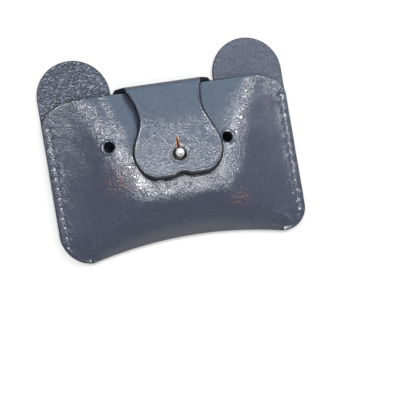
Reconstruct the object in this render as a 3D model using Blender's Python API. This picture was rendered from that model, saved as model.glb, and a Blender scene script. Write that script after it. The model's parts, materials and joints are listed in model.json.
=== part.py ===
"""A stitched leather card wallet with a bear's face, lying on its back.

One hide makes the back panel with its two ears, the turn along the bottom, the bulging
front panel, and the strap that folds over the mouth and ends in the muzzle-shaped flap.
A waxed thread closes each side, and the flap buttons on a ball stud through a slit hole.

Metres, +Z up out of the front of the wallet, +Y towards the ears. The origin is at the
middle of the footprint, on the surface that the wallet lies on.
"""

import math

import bmesh
import bpy
from mathutils import Matrix, Vector

# Hide
LEATHER = 0.0016
GAP = 0.0003

# Back panel and ears, with heights up the wallet counted from its bottom edge
BODY_WIDTH = 0.100
EAR_CENTRE_UP = 0.0666
EAR_RADIUS = 0.0144
LEFT_CORNER_RADIUS = 0.0125
RIGHT_CORNER_RADIUS = 0.0095
NOTCH_HALF_WIDTH = 0.0390
BOTTOM_HOLLOW = 0.0046

# Front panel
MOUTH_UP = 0.0642
MOUTH_CORNER_REACH = 0.0140
MOUTH_CORNER_DROP = 0.0085
MOUTH_HEIGHT = 0.0087
FACE_SLOPE = math.radians(15.1)
SEAM_MARGIN = 0.0042
SEAM_FOOT = 0.0040
SIDE_SLOPE = math.radians(30.0)
BASE_SLOPE = math.radians(36.5)
CREASE_SETBACK = 0.0027
CREASE_RISE = 0.0063
RIDGE_SHARPNESS = 7.0

# Eyes
EYE_RADIUS = 0.0021
LEFT_EYE_ACROSS = 0.0256
LEFT_EYE_UP = 0.0433
RIGHT_EYE_ACROSS = 0.0203
RIGHT_EYE_UP = 0.0403

# Strap that folds over the mouth
STRAP_ROOT_UP = 0.0639
STRAP_FOOT_RADIUS = 0.0020
STRAP_CROWN_RADIUS = 0.0032
STRAP_LEAN = math.radians(6.0)
STRAP_SPREAD_POWER = 1.4

# Flap in the shape of a muzzle
FLAP_LENGTH = 0.0350
NECK_HALF_WIDTH = 0.0129
LEFT_NECK_DISTANCE = 0.0110
LEFT_NECK_FLARE = 0.0028
RIGHT_NECK_DISTANCE = 0.0075
RIGHT_NECK_FLARE = 0.0011
CHEEK_HALF_WIDTH = 0.0175
CHEEK_FROM_CHIN = 0.0090
CHIN_HALF_WIDTH = 0.0090
CHIN_NOTCH_DEPTH = 0.0012
CHIN_NOTCH_HALF_WIDTH = 0.0035
KEYHOLE_ACROSS = 0.0002
KEYHOLE_FROM_CHIN = 0.0072
KEYHOLE_RADIUS = 0.00235
SLIT_LENGTH = 0.0045
SLIT_HALF_WIDTH = 0.0010

# Ball stud and its screw
STUD_BASE_RADIUS = 0.0027
STUD_BASE_HEIGHT = 0.0008
STUD_NECK_RADIUS = 0.0013
STUD_BALL_RADIUS = 0.0017
STUD_BALL_STANDOFF = 0.0014
STUD_BORE_RADIUS = 0.0010
STUD_BORE_DEPTH = 0.0024
SCREW_SHANK_RADIUS = 0.0007
SCREW_HEAD_RADIUS = 0.0030
SCREW_HEAD_HEIGHT = 0.0009
SCREW_SLOT_WIDTH = 0.0007
SCREW_SLOT_DEPTH = 0.0004

# Side seams
SEAM_INSET = 0.0030
SEAM_TOP_UP = 0.0548
STITCH_PITCH = 0.0039
STITCH_HOLES = 13
THREAD_RADIUS = 0.0003
THREAD_SPREAD = 0.00045
THREAD_TURN = 0.00025
BACK_THREAD_HEIGHT = 0.00035
FRONT_GROOVE_DEPTH = 0.0005

CUT_OVERRUN = 0.0030
MERGE_DISTANCE = 0.00001
SMOOTH_ANGLE = math.radians(35.0)
ROUND_STEPS = 28
FACE_COLUMNS = 18
CORNER_STEPS = 6
PANEL_ROWS = 24

# Colours are linear red, green and blue
GRAIN_COLOUR = (0.115, 0.140, 0.185, 1.0)
THREAD_COLOUR = (0.045, 0.050, 0.090, 1.0)
NICKEL_COLOUR = (0.70, 0.68, 0.64, 1.0)
STEEL_COLOUR = (0.52, 0.52, 0.53, 1.0)

# Sizes that follow from the driving ones
HALF_WIDTH = BODY_WIDTH / 2
OVERALL_LENGTH = EAR_CENTRE_UP + EAR_RADIUS
EAR_ACROSS = HALF_WIDTH - EAR_RADIUS
EAR_INNER_ACROSS = EAR_ACROSS - EAR_RADIUS
LAP_TOP = 2 * LEATHER + GAP
TURN_RADIUS = LAP_TOP / 2
CHEEK_DISTANCE = FLAP_LENGTH - CHEEK_FROM_CHIN
KEYHOLE_DISTANCE = FLAP_LENGTH - KEYHOLE_FROM_CHIN
FLAP_MIDDLE_LIFT = STUD_BASE_HEIGHT + 2 * GAP + LEATHER / 2
SEAM_ACROSS = HALF_WIDTH - SEAM_INSET
HOLE_HALF_ACROSS = THREAD_SPREAD + THREAD_RADIUS + GAP
HOLE_HALF_ALONG = THREAD_RADIUS + GAP
BACK_GROOVE_DEPTH = BACK_THREAD_HEIGHT + THREAD_RADIUS + GAP
FRONT_THREAD_HEIGHT = LAP_TOP - FRONT_GROOVE_DEPTH + GAP + THREAD_RADIUS


def clear_scene():
    for item in list(bpy.data.objects):
        bpy.data.objects.remove(item, do_unlink=True)


def material(name, colour, roughness, metallic=0.0):
    made = bpy.data.materials.new(name)
    made.use_nodes = True
    shader = made.node_tree.nodes["Principled BSDF"]
    shader.inputs["Base Color"].default_value = colour
    shader.inputs["Roughness"].default_value = roughness
    shader.inputs["Metallic"].default_value = metallic
    made.diffuse_color = colour
    return made


def placed(across, up, height):
    """A point of the wallet in the part's frame, from its place across, up and out of it."""
    return Vector((across, up - OVERALL_LENGTH / 2, height))


def add_mesh(name, mesh_of, finish, origin=None):
    """Store a bmesh as an object whose own origin is the given point."""
    origin = origin or Vector((0, 0, 0))
    bmesh.ops.translate(mesh_of, verts=mesh_of.verts, vec=-origin)
    bmesh.ops.recalc_face_normals(mesh_of, faces=mesh_of.faces)
    data = bpy.data.meshes.new(name)
    mesh_of.to_mesh(data)
    mesh_of.free()
    item = bpy.data.objects.new(name, data)
    item.location = origin
    item.data.materials.append(finish)
    bpy.context.collection.objects.link(item)
    return item


def smooth(item):
    item.data.shade_smooth()
    item.data.set_sharp_from_angle(angle=SMOOTH_ANGLE)


def solid_between(outer, inner):
    """A closed body from two grids of points that face each other."""
    body = bmesh.new()
    rows, columns = len(outer), len(outer[0])
    tops = [[body.verts.new(point) for point in row] for row in outer]
    bottoms = [[body.verts.new(point) for point in row] for row in inner]
    for row in range(rows - 1):
        for column in range(columns - 1):
            for grid in (tops, bottoms):
                body.faces.new((grid[row][column], grid[row][column + 1],
                                grid[row + 1][column + 1], grid[row + 1][column]))
    rim = [(0, column) for column in range(columns)]
    rim += [(row, columns - 1) for row in range(1, rows)]
    rim += [(rows - 1, column) for column in range(columns - 2, -1, -1)]
    rim += [(row, 0) for row in range(rows - 2, 0, -1)]
    for step, (row, column) in enumerate(rim):
        next_row, next_column = rim[(step + 1) % len(rim)]
        body.faces.new((tops[row][column], tops[next_row][next_column],
                        bottoms[next_row][next_column], bottoms[row][column]))
    return body


def plate(outline, depth):
    """A flat body of a closed outline of points, as deep as given along +Z."""
    body = bmesh.new()
    face = body.faces.new([body.verts.new(point) for point in outline])
    raised = bmesh.ops.extrude_face_region(body, geom=[face])
    moved = [part for part in raised["geom"] if isinstance(part, bmesh.types.BMVert)]
    bmesh.ops.translate(body, verts=moved, vec=(0, 0, depth))
    return body


def cutter(name, body, matrix=None):
    """A wire-drawn body that only cuts."""
    bmesh.ops.recalc_face_normals(body, faces=body.faces)
    data = bpy.data.meshes.new(name)
    body.to_mesh(data)
    body.free()
    item = bpy.data.objects.new(name, data)
    item.matrix_world = matrix or Matrix.Identity(4)
    item.display_type = "WIRE"
    item.hide_render = True
    bpy.context.collection.objects.link(item)
    return item


def cut(item, tool):
    step = item.modifiers.new(tool.name, "BOOLEAN")
    step.operation = "DIFFERENCE"
    step.solver = "EXACT"
    step.object = tool


def arc(centre, radii, start, end, steps):
    """Points of an elliptical arc, both ends included."""
    turn = (end - start) / steps
    return [(centre[0] + radii[0] * math.cos(start + turn * step),
             centre[1] + radii[1] * math.sin(start + turn * step)) for step in range(steps + 1)]


def corner_radius(across):
    return LEFT_CORNER_RADIUS if across < 0 else RIGHT_CORNER_RADIUS


def corner_edge(across):
    """How far up the rounded bottom corner is at a place across the wallet."""
    radius = corner_radius(across)
    reach = abs(across) - (HALF_WIDTH - radius)
    if reach <= 0:
        return 0
    return radius - math.sqrt(max(radius ** 2 - reach ** 2, 0))


def fullness(across):
    """One at the middle of the bottom turn, and nothing at its two ends."""
    return max(1 - (across / NOTCH_HALF_WIDTH) ** 2, 0)


def turn_edge(across):
    """How far up the lowest line of the bottom turn is."""
    return BOTTOM_HOLLOW * fullness(across)


def crease(across):
    """The place up, and the height, of the crease above the bottom turn."""
    share = fullness(across)
    up = turn_edge(across) + TURN_RADIUS + CREASE_SETBACK * share
    return up, LAP_TOP + CREASE_RISE * share


def foot_line(across):
    """Where the front panel starts to rise from the bottom turn or from a stitched corner."""
    if abs(across) <= NOTCH_HALF_WIDTH:
        return crease(across)[0]
    share = (HALF_WIDTH - abs(across)) / (HALF_WIDTH - NOTCH_HALF_WIDTH)
    return corner_edge(across) + TURN_RADIUS * share


def ramp(distance, slope, foot):
    """A rise that leaves the flat over a foot and then keeps its slope."""
    if distance <= 0:
        return 0
    if distance < foot:
        return math.tan(slope) * distance ** 2 / (2 * foot)
    return math.tan(slope) * (distance - foot / 2)


def soft_least(rises):
    """The least of some rises, rounded where two of them are close."""
    if min(rises) <= 0:
        return 0
    least = min(rises)
    return least * sum((least / rise) ** RIDGE_SHARPNESS for rise in rises) ** (-1 / RIDGE_SHARPNESS)


def front_height(across, up):
    """The height of the front panel's grain side: four slopes that meet in a rounded ridge."""
    inside = HALF_WIDTH - SEAM_MARGIN
    foot = SEAM_FOOT * (1 - fullness(across))
    base = crease(across)[1] - LAP_TOP if abs(across) < NOTCH_HALF_WIDTH else 0
    face = MOUTH_HEIGHT - LAP_TOP + (MOUTH_UP - up) * math.tan(FACE_SLOPE)
    rises = (
        ramp(inside - across, SIDE_SLOPE, SEAM_FOOT),
        ramp(inside + across, SIDE_SLOPE, SEAM_FOOT),
        base + ramp(up - foot_line(across), BASE_SLOPE, foot),
        face,
    )
    return LAP_TOP + soft_least(rises)


def front_normal(across, up):
    step = GAP
    slope_across = (front_height(across + step, up) - front_height(across - step, up)) / (2 * step)
    slope_up = (front_height(across, up + step) - front_height(across, up - step)) / (2 * step)
    return Vector((-slope_across, -slope_up, 1)).normalized()


def mouth_edge(across):
    """How far up the mouth's edge is, with its two rounded corners."""
    reach = abs(across) - (HALF_WIDTH - MOUTH_CORNER_REACH)
    if reach <= 0:
        return MOUTH_UP
    share = min(reach / MOUTH_CORNER_REACH, 1)
    return MOUTH_UP - MOUTH_CORNER_DROP * (1 - math.sqrt(max(1 - share ** 2, 0)))


def panel_columns():
    """Places across the front panel, closer together round its corners and at the notches."""
    flat = HALF_WIDTH - MOUTH_CORNER_REACH
    columns = [-flat + 2 * flat * step / FACE_COLUMNS for step in range(FACE_COLUMNS + 1)]
    quarter = math.pi / 2
    side = [flat + MOUTH_CORNER_REACH * math.sin(quarter * step / CORNER_STEPS)
            for step in range(1, CORNER_STEPS + 1)]
    side += [NOTCH_HALF_WIDTH + GAP, NOTCH_HALF_WIDTH + 2 * GAP]
    side = [place for place in side
            if place in side[-2:] or abs(place - NOTCH_HALF_WIDTH - 1.5 * GAP) > 2 * GAP]
    columns += side + [-place for place in side]
    return sorted(columns)


def panel_foot(across):
    """How far up the front panel's lower edge is."""
    if abs(across) < NOTCH_HALF_WIDTH + 1.5 * GAP:
        return crease(across)[0] + GAP
    return corner_edge(across)


def turn_tangent(across):
    """The direction, seen along the bottom turn, in which its straight wall faces."""
    up, height = crease(across)
    along, rise = up - turn_edge(across) - TURN_RADIUS, height - TURN_RADIUS
    return math.atan2(rise, along) + math.acos(min(TURN_RADIUS / math.hypot(along, rise), 1))


def crease_inset(across):
    """The step from the crease's outer edge to its inner edge, on the mitre of both walls."""
    facing = turn_tangent(across)
    wall = Vector((0, math.cos(facing), math.sin(facing)))
    up = crease(across)[0] + 2 * GAP
    panel = front_normal(across, up)
    panel = Vector((0, panel.y, panel.z)).normalized()
    mitre = (wall + panel).normalized()
    return -mitre * LEATHER / mitre.dot(wall)


def bottom_corner(sign):
    """Points round a bottom corner, from the side down to the notch beside the turn."""
    radius = corner_radius(sign)
    notch = NOTCH_HALF_WIDTH + 2 * GAP
    points = arc((HALF_WIDTH - radius, radius), (radius, -radius), 0, math.pi / 2, CORNER_STEPS)
    points = [point for point in points if point[0] > notch] + [(notch, corner_edge(sign * notch))]
    return [(sign * across, up) for across, up in points]


def ear(sign):
    return arc((sign * EAR_ACROSS, EAR_CENTRE_UP), (EAR_RADIUS, EAR_RADIUS), math.pi, 0, ROUND_STEPS)


def make_back_panel(finish):
    bite = STRAP_ROOT_UP - GAP
    outline = ear(-1) + [(-EAR_INNER_ACROSS, bite), (EAR_INNER_ACROSS, bite)] + ear(1)
    outline += bottom_corner(1)
    steps = 2 * FACE_COLUMNS
    for step in range(steps + 1):
        across = (NOTCH_HALF_WIDTH + GAP) * (1 - 2 * step / steps)
        outline.append((across, turn_edge(across) + TURN_RADIUS + GAP))
    outline += reversed(bottom_corner(-1))
    points = [placed(across, up, 0) for across, up in outline]
    item = add_mesh("back_panel", plate(points, LEATHER), finish)
    for name, sign in (("left", -1), ("right", 1)):
        cut(item, seam_groove(f"{name}_back_groove", sign, -CUT_OVERRUN, BACK_GROOVE_DEPTH))
    cut(item, stitch_holes("back_stitch_holes"))
    return item


def make_front_panel(finish):
    outer, inner = [], []
    columns = panel_columns()
    for row in range(PANEL_ROWS + 1):
        share = row / PANEL_ROWS
        outer_row, inner_row = [], []
        for across in columns:
            foot = panel_foot(across)
            up = foot + (mouth_edge(across) - foot) * share
            point = placed(across, up, front_height(across, up))
            inset = -front_normal(across, up) * LEATHER
            if row == 0 and abs(across) < NOTCH_HALF_WIDTH:
                inset = crease_inset(across)
            outer_row.append(point)
            inner_row.append(point + inset)
        outer.append(outer_row)
        inner.append(inner_row)
    item = add_mesh("front_panel", solid_between(outer, inner), finish)
    smooth(item)
    eyes = (("left", -LEFT_EYE_ACROSS, LEFT_EYE_UP), ("right", RIGHT_EYE_ACROSS, RIGHT_EYE_UP))
    for name, across, up in eyes:
        cut(item, rod_cutter(f"{name}_eye_hole", EYE_RADIUS, *surface_frame(across, up)))
    cut(item, rod_cutter("stud_hole", SCREW_SHANK_RADIUS + GAP, stud_foot(), face_direction()))
    for name, sign in (("left", -1), ("right", 1)):
        floor = LAP_TOP - FRONT_GROOVE_DEPTH
        cut(item, seam_groove(f"{name}_front_groove", sign, floor, LAP_TOP + CUT_OVERRUN))
    cut(item, stitch_holes("front_stitch_holes"))
    return item


def surface_frame(across, up):
    return placed(across, up, front_height(across, up)), front_normal(across, up)


def rod_cutter(name, radius, centre, direction):
    """A round cutter through the leather at a point, along a direction."""
    body = bmesh.new()
    bmesh.ops.create_cone(body, cap_ends=True, segments=ROUND_STEPS, radius1=radius, radius2=radius,
                          depth=2 * CUT_OVERRUN)
    turned = Vector((0, 0, 1)).rotation_difference(direction).to_matrix().to_4x4()
    return cutter(name, body, Matrix.Translation(centre) @ turned)


def box_body(low, high):
    body = bmesh.new()
    bmesh.ops.create_cube(body, size=1.0)
    size = high - low
    bmesh.ops.scale(body, verts=body.verts, vec=size)
    bmesh.ops.translate(body, verts=body.verts, vec=(low + high) / 2)
    return body


def stitch_up(hole):
    return SEAM_TOP_UP - STITCH_PITCH * hole


def seam_groove(name, sign, low, high):
    """The shallow channel that a side's stitches lie in."""
    along = HOLE_HALF_ALONG + THREAD_TURN
    bottom = placed(sign * SEAM_ACROSS - HOLE_HALF_ACROSS, stitch_up(STITCH_HOLES - 1) - along, low)
    top = placed(sign * SEAM_ACROSS + HOLE_HALF_ACROSS, stitch_up(0) + along, high)
    return cutter(name, box_body(bottom, top))


def stitch_holes(name):
    """Every awl hole of both seams, as one cutter."""
    body = bmesh.new()
    for sign in (-1, 1):
        for hole in range(STITCH_HOLES):
            middle = placed(sign * SEAM_ACROSS, stitch_up(hole), LAP_TOP / 2)
            half = Vector((HOLE_HALF_ACROSS, HOLE_HALF_ALONG, LAP_TOP / 2 + CUT_OVERRUN))
            part = box_body(middle - half, middle + half)
            data = bpy.data.meshes.new(name)
            part.to_mesh(data)
            part.free()
            body.from_mesh(data)
            bpy.data.meshes.remove(data)
    return cutter(name, body)


def make_bottom_turn(finish):
    """The hide where it turns from the front to the back, fullest in the middle."""
    steps = 2 * FACE_COLUMNS
    outer, inner = [], []
    for step in range(steps + 1):
        across = NOTCH_HALF_WIDTH * (2 * step / steps - 1)
        up, height = crease(across)
        top = placed(across, up, height)
        centre = (turn_edge(across) + TURN_RADIUS, TURN_RADIUS)
        rows = []
        for radius in (TURN_RADIUS, TURN_RADIUS - LEATHER):
            bend = arc(centre, (radius, radius), turn_tangent(across), 3 * math.pi / 2, CORNER_STEPS)
            rows.append([placed(across, *point) for point in bend])
        outer.append([top] + rows[0])
        inner.append([top + crease_inset(across)] + rows[1])
    item = add_mesh("bottom_turn", solid_between(outer, inner), finish)
    smooth(item)
    return item


def face_height(up):
    """The height of the plane that the front panel's face lies in."""
    return MOUTH_HEIGHT + (MOUTH_UP - up) * math.tan(FACE_SLOPE)


def flap_line(up):
    """The height of the flap's middle plane, which stands clear of the face on the stud's base."""
    return face_height(up) + FLAP_MIDDLE_LIFT / math.cos(FACE_SLOPE)


def strap_outward():
    """The direction, up the wallet and out of it, in which the strap's leaning wall faces."""
    return Vector((math.cos(STRAP_LEAN), math.sin(STRAP_LEAN)))


def strap_foot_centre():
    return Vector((STRAP_ROOT_UP, LEATHER / 2 + STRAP_FOOT_RADIUS))


def strap_crown_centre():
    """The centre of the strap's upper bend, which is tangent to its wall and to the flap."""
    low = strap_foot_centre() + strap_outward() * (STRAP_FOOT_RADIUS - STRAP_CROWN_RADIUS)
    along = Vector((-math.sin(STRAP_LEAN), math.cos(STRAP_LEAN)))
    rise = flap_line(low.x) - STRAP_CROWN_RADIUS / math.cos(FACE_SLOPE) - low.y
    return low + along * rise / (along.y + along.x * math.tan(FACE_SLOPE))


def flap_axis():
    """The flap's hinge line, halfway along the wall of the strap."""
    low = strap_foot_centre() + strap_outward() * STRAP_FOOT_RADIUS
    high = strap_crown_centre() + strap_outward() * STRAP_CROWN_RADIUS
    return placed(0, *(low + high) / 2)


def strap_line():
    """Middle line of the strap from the back panel to the flap: up, height, and facing angle."""
    end = math.pi / 2 - FACE_SLOPE - GAP / STRAP_CROWN_RADIUS
    line = bend_points(strap_foot_centre(), STRAP_FOOT_RADIUS, -math.pi / 2, STRAP_LEAN)
    line += bend_points(strap_crown_centre(), STRAP_CROWN_RADIUS, STRAP_LEAN, end)
    return line


def bend_points(centre, radius, start, end):
    points = arc(centre, (radius, radius), start, end, CORNER_STEPS)
    return [(*point, start + (end - start) * step / CORNER_STEPS) for step, point in enumerate(points)]


def make_strap(finish):
    """The strap, as wide as the space between the ears at its root and as the flap at its top."""
    line = strap_line()
    lengths = [0]
    for before, after in zip(line, line[1:]):
        lengths.append(lengths[-1] + math.dist(before[:2], after[:2]))
    root_half = EAR_INNER_ACROSS - GAP
    outer, inner = [], []
    for (up, height, facing), length in zip(line, lengths):
        spread = (1 - length / lengths[-1]) ** STRAP_SPREAD_POWER
        left = NECK_HALF_WIDTH + LEFT_NECK_FLARE
        right = NECK_HALF_WIDTH + RIGHT_NECK_FLARE
        sides = (-left - (root_half - left) * spread, right + (root_half - right) * spread)
        out = (math.cos(facing) * LEATHER / 2, math.sin(facing) * LEATHER / 2)
        outer.append([placed(across, up + out[0], height + out[1]) for across in sides])
        inner.append([placed(across, up - out[0], height - out[1]) for across in sides])
    item = add_mesh("fold_strap", solid_between(outer, inner), finish)
    smooth(item)
    return item


def eased(share):
    return (1 - math.cos(math.pi * share)) / 2


def flap_half_width(distance, neck_distance, flare):
    """Half the flap's width at a distance from the fold, down to the cheeks."""
    if distance < neck_distance:
        return NECK_HALF_WIDTH + flare * (1 - distance / neck_distance) ** 2
    share = eased((distance - neck_distance) / (CHEEK_DISTANCE - neck_distance))
    return NECK_HALF_WIDTH + (CHEEK_HALF_WIDTH - NECK_HALF_WIDTH) * share


def flap_side(neck_distance, flare):
    """One edge of the flap from the fold round the cheek to the middle of the chin."""
    steps = 3 * CORNER_STEPS
    side = []
    for step in range(steps):
        distance = CHEEK_DISTANCE * step / steps
        side.append((flap_half_width(distance, neck_distance, flare), distance))
    radii = (CHEEK_HALF_WIDTH - CHIN_HALF_WIDTH, FLAP_LENGTH - CHEEK_DISTANCE)
    side += arc((CHIN_HALF_WIDTH, CHEEK_DISTANCE), radii, 0, math.pi / 2, 2 * CORNER_STEPS)
    for step in range(CORNER_STEPS + 1):
        share = step / CORNER_STEPS
        across = CHIN_NOTCH_HALF_WIDTH * (1 - share)
        side.append((across, FLAP_LENGTH - CHIN_NOTCH_DEPTH * eased(share)))
    return side


def flap_frame():
    """Where the flap's plate starts, with its length running down the face."""
    out = Vector((math.sin(FACE_SLOPE), math.cos(FACE_SLOPE)))
    start = placed(0, *strap_crown_centre() + out * STRAP_CROWN_RADIUS)
    return Matrix.Translation(start) @ Matrix.Rotation(math.pi - FACE_SLOPE, 4, "X")


def make_flap(finish):
    right = flap_side(RIGHT_NECK_DISTANCE, RIGHT_NECK_FLARE)
    left = flap_side(LEFT_NECK_DISTANCE, LEFT_NECK_FLARE)
    outline = right + [(-across, distance) for across, distance in reversed(left[:-1])]
    body = plate([(across, distance, -LEATHER / 2) for across, distance in outline], LEATHER)
    frame = flap_frame()
    bmesh.ops.transform(body, matrix=frame, verts=body.verts)
    item = add_mesh("flap", body, finish, origin=flap_axis())
    centre = frame @ Vector((KEYHOLE_ACROSS, KEYHOLE_DISTANCE, 0))
    cut(item, rod_cutter("keyhole", KEYHOLE_RADIUS, centre, face_direction()))
    tip = KEYHOLE_DISTANCE - KEYHOLE_RADIUS - SLIT_LENGTH
    corners = ((-SLIT_HALF_WIDTH, KEYHOLE_DISTANCE), (SLIT_HALF_WIDTH, KEYHOLE_DISTANCE),
               (GAP / 2, tip), (-GAP / 2, tip))
    wedge = [(KEYHOLE_ACROSS + across, distance, -CUT_OVERRUN) for across, distance in corners]
    cut(item, cutter("slit", plate(wedge, 2 * CUT_OVERRUN), frame))
    return item


def face_direction():
    return Vector((0, math.sin(FACE_SLOPE), math.cos(FACE_SLOPE)))


def stud_foot():
    """The point of the face under the middle of the flap's keyhole."""
    return flap_frame() @ Vector((KEYHOLE_ACROSS, KEYHOLE_DISTANCE, FLAP_MIDDLE_LIFT))


def turned_body(profile, direction, base):
    """A closed turned body from a profile of radius and height that starts and ends on the axis."""
    body = bmesh.new()
    points = [body.verts.new((radius, 0, height)) for radius, height in profile]
    edges = [body.edges.new(pair) for pair in zip(points, points[1:])]
    bmesh.ops.spin(body, geom=points + edges, axis=(0, 0, 1), cent=(0, 0, 0),
                   angle=2 * math.pi, steps=ROUND_STEPS, use_duplicate=False)
    bmesh.ops.remove_doubles(body, verts=body.verts, dist=MERGE_DISTANCE)
    turned = Vector((0, 0, 1)).rotation_difference(direction).to_matrix().to_4x4()
    bmesh.ops.transform(body, matrix=Matrix.Translation(base) @ turned, verts=body.verts)
    return body


def make_stud(finish):
    """The ball, neck and base turned from one rod, bored from below for the screw."""
    base = STUD_BASE_HEIGHT
    centre = base + GAP + LEATHER + STUD_BALL_STANDOFF
    join = math.asin(STUD_NECK_RADIUS / STUD_BALL_RADIUS)
    ball = arc((0, centre), (STUD_BALL_RADIUS, STUD_BALL_RADIUS), join - math.pi / 2, math.pi / 2,
               2 * CORNER_STEPS)
    edge = STUD_BASE_HEIGHT / 4
    profile = [(0, STUD_BORE_DEPTH), (STUD_BORE_RADIUS, STUD_BORE_DEPTH), (STUD_BORE_RADIUS, 0),
               (STUD_BASE_RADIUS - edge, 0), (STUD_BASE_RADIUS, edge), (STUD_BASE_RADIUS, base - edge),
               (STUD_BASE_RADIUS - edge, base), (STUD_NECK_RADIUS, base)]
    profile += ball[:-1]
    profile.append((0, centre + STUD_BALL_RADIUS))
    seat = stud_foot() + face_direction() * GAP
    item = add_mesh("ball_stud", turned_body(profile, face_direction(), seat), finish)
    smooth(item)
    return item


def drop_under_screw():
    """How far the front panel falls away from the face's plane under the screw head's rim."""
    foot = stud_foot()
    drops = []
    for across, along in arc((0, 0), (SCREW_HEAD_RADIUS,) * 2, 0, 2 * math.pi, ROUND_STEPS):
        up = foot.y + OVERALL_LENGTH / 2 + along * math.cos(FACE_SLOPE)
        drops.append(face_height(up) - front_height(foot.x + across, up))
    return max(drops) * math.cos(FACE_SLOPE)


def make_screw(finish):
    """The slotted screw inside the pocket, whose shank runs up into the stud's bore."""
    top = -LEATHER - GAP - drop_under_screw()
    bottom = top - SCREW_HEAD_HEIGHT
    edge = SCREW_HEAD_HEIGHT / 4
    profile = [(0, bottom), (SCREW_HEAD_RADIUS - edge, bottom), (SCREW_HEAD_RADIUS, bottom + edge),
               (SCREW_HEAD_RADIUS, top), (SCREW_SHANK_RADIUS, top),
               (SCREW_SHANK_RADIUS, STUD_BORE_DEPTH), (0, STUD_BORE_DEPTH)]
    item = add_mesh("stud_screw", turned_body(profile, face_direction(), stud_foot()), finish)
    smooth(item)
    reach = SCREW_HEAD_RADIUS + CUT_OVERRUN
    body = box_body(Vector((-reach, -SCREW_SLOT_WIDTH / 2, bottom - CUT_OVERRUN)),
                    Vector((reach, SCREW_SLOT_WIDTH / 2, bottom + SCREW_SLOT_DEPTH)))
    turned = Vector((0, 0, 1)).rotation_difference(face_direction()).to_matrix().to_4x4()
    cut(item, cutter("screw_slot", body, Matrix.Translation(stud_foot()) @ turned))
    return item


def thread_route(sign):
    """Saddle stitching: the thread runs down the seam and back, so each hole holds it twice."""
    holes = [*range(STITCH_HOLES), *range(STITCH_HOLES - 2, -1, -1)]
    levels = (BACK_THREAD_HEIGHT, FRONT_THREAD_HEIGHT)
    route = []
    for step, hole in enumerate(holes):
        side = -THREAD_SPREAD if step < STITCH_HOLES else THREAD_SPREAD
        for level in (levels[step % 2], levels[(step + 1) % 2]):
            route.append((sign * SEAM_ACROSS + side, stitch_up(hole), level))
    return route[:-1]


def eased_corners(route):
    """The same route with each corner cut short, so that the thread bends in two steps."""
    points = [placed(*route[0])]
    for before, here, after in zip(route, route[1:], route[2:]):
        middle = placed(*here)
        for other in (before, after):
            step = placed(*other) - middle
            points.append(middle + step.normalized() * THREAD_TURN)
    points.append(placed(*route[-1]))
    return points


def make_thread(name, sign, finish):
    points = eased_corners(thread_route(sign))
    data = bpy.data.curves.new(name, "CURVE")
    data.dimensions = "3D"
    data.bevel_depth = THREAD_RADIUS
    data.bevel_resolution = 1
    data.use_fill_caps = True
    line = data.splines.new("POLY")
    line.points.add(len(points) - 1)
    for place, point in zip(line.points, points):
        place.co = (*point, 1)
    item = bpy.data.objects.new(name, data)
    item.data.materials.append(finish)
    bpy.context.collection.objects.link(item)
    return item


def hang_on_hinge(name, item):
    """Hang a piece on an empty at its own origin, which lies on its hinge line."""
    empty = bpy.data.objects.new(name, None)
    empty.location = item.location
    bpy.context.collection.objects.link(empty)
    item.location = (0, 0, 0)
    item.parent = empty


def build():
    clear_scene()
    grain = material("dyed_cowhide", GRAIN_COLOUR, 0.38)
    thread = material("waxed_thread", THREAD_COLOUR, 0.55)
    nickel = material("nickel_plate", NICKEL_COLOUR, 0.18, 1.0)
    steel = material("zinc_plated_steel", STEEL_COLOUR, 0.35, 1.0)
    make_back_panel(grain)
    make_front_panel(grain)
    make_bottom_turn(grain)
    make_strap(grain)
    hang_on_hinge("flap_hinge", make_flap(grain))
    make_stud(nickel)
    make_screw(steel)
    make_thread("left_seam_thread", -1, thread)
    make_thread("right_seam_thread", 1, thread)


build()
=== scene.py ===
"""The looks of a stitched leather card wallet with a bear's face, on a plain white table.

The hide is drawn as one sheet that turns at the bottom and at the fold. Each stretch of it is
a panel: an outline on the flat sheet, filled with points, lifted into its place and given the
thickness and the rounded edges of cut leather. Metres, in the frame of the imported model.
"""

import json
import math
from functools import partial

import bmesh
import bpy
import numpy as np
from mathutils import Matrix, Vector, kdtree
from mathutils.geometry import delaunay_2d_cdt
from mathutils.noise import fractal

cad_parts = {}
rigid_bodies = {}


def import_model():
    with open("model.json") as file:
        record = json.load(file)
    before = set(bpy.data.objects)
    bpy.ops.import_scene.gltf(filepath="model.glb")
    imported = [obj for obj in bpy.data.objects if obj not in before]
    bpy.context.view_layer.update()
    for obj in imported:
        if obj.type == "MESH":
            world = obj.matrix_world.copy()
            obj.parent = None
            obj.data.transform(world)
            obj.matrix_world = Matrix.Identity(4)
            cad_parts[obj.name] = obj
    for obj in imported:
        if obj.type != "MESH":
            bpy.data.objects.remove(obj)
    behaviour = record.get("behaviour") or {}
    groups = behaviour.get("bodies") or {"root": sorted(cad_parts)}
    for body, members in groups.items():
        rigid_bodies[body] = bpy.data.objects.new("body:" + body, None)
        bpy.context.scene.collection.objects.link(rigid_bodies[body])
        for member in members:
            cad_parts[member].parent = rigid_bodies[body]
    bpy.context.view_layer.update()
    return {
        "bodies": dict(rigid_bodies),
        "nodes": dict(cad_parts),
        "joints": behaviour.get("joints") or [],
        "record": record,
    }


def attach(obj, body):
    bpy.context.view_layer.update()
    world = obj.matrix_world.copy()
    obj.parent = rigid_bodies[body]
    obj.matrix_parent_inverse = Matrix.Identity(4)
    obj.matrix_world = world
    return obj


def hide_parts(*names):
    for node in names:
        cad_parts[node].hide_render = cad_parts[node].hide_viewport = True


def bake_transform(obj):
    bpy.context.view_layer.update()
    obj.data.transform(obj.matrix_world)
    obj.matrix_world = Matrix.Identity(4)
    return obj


MILLIMETRE = 0.001

# Hide
LEATHER = 0.0016
GAP = 0.0003
EDGE_ROUNDING = 0.00035
EDGE_STEPS = 3

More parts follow.
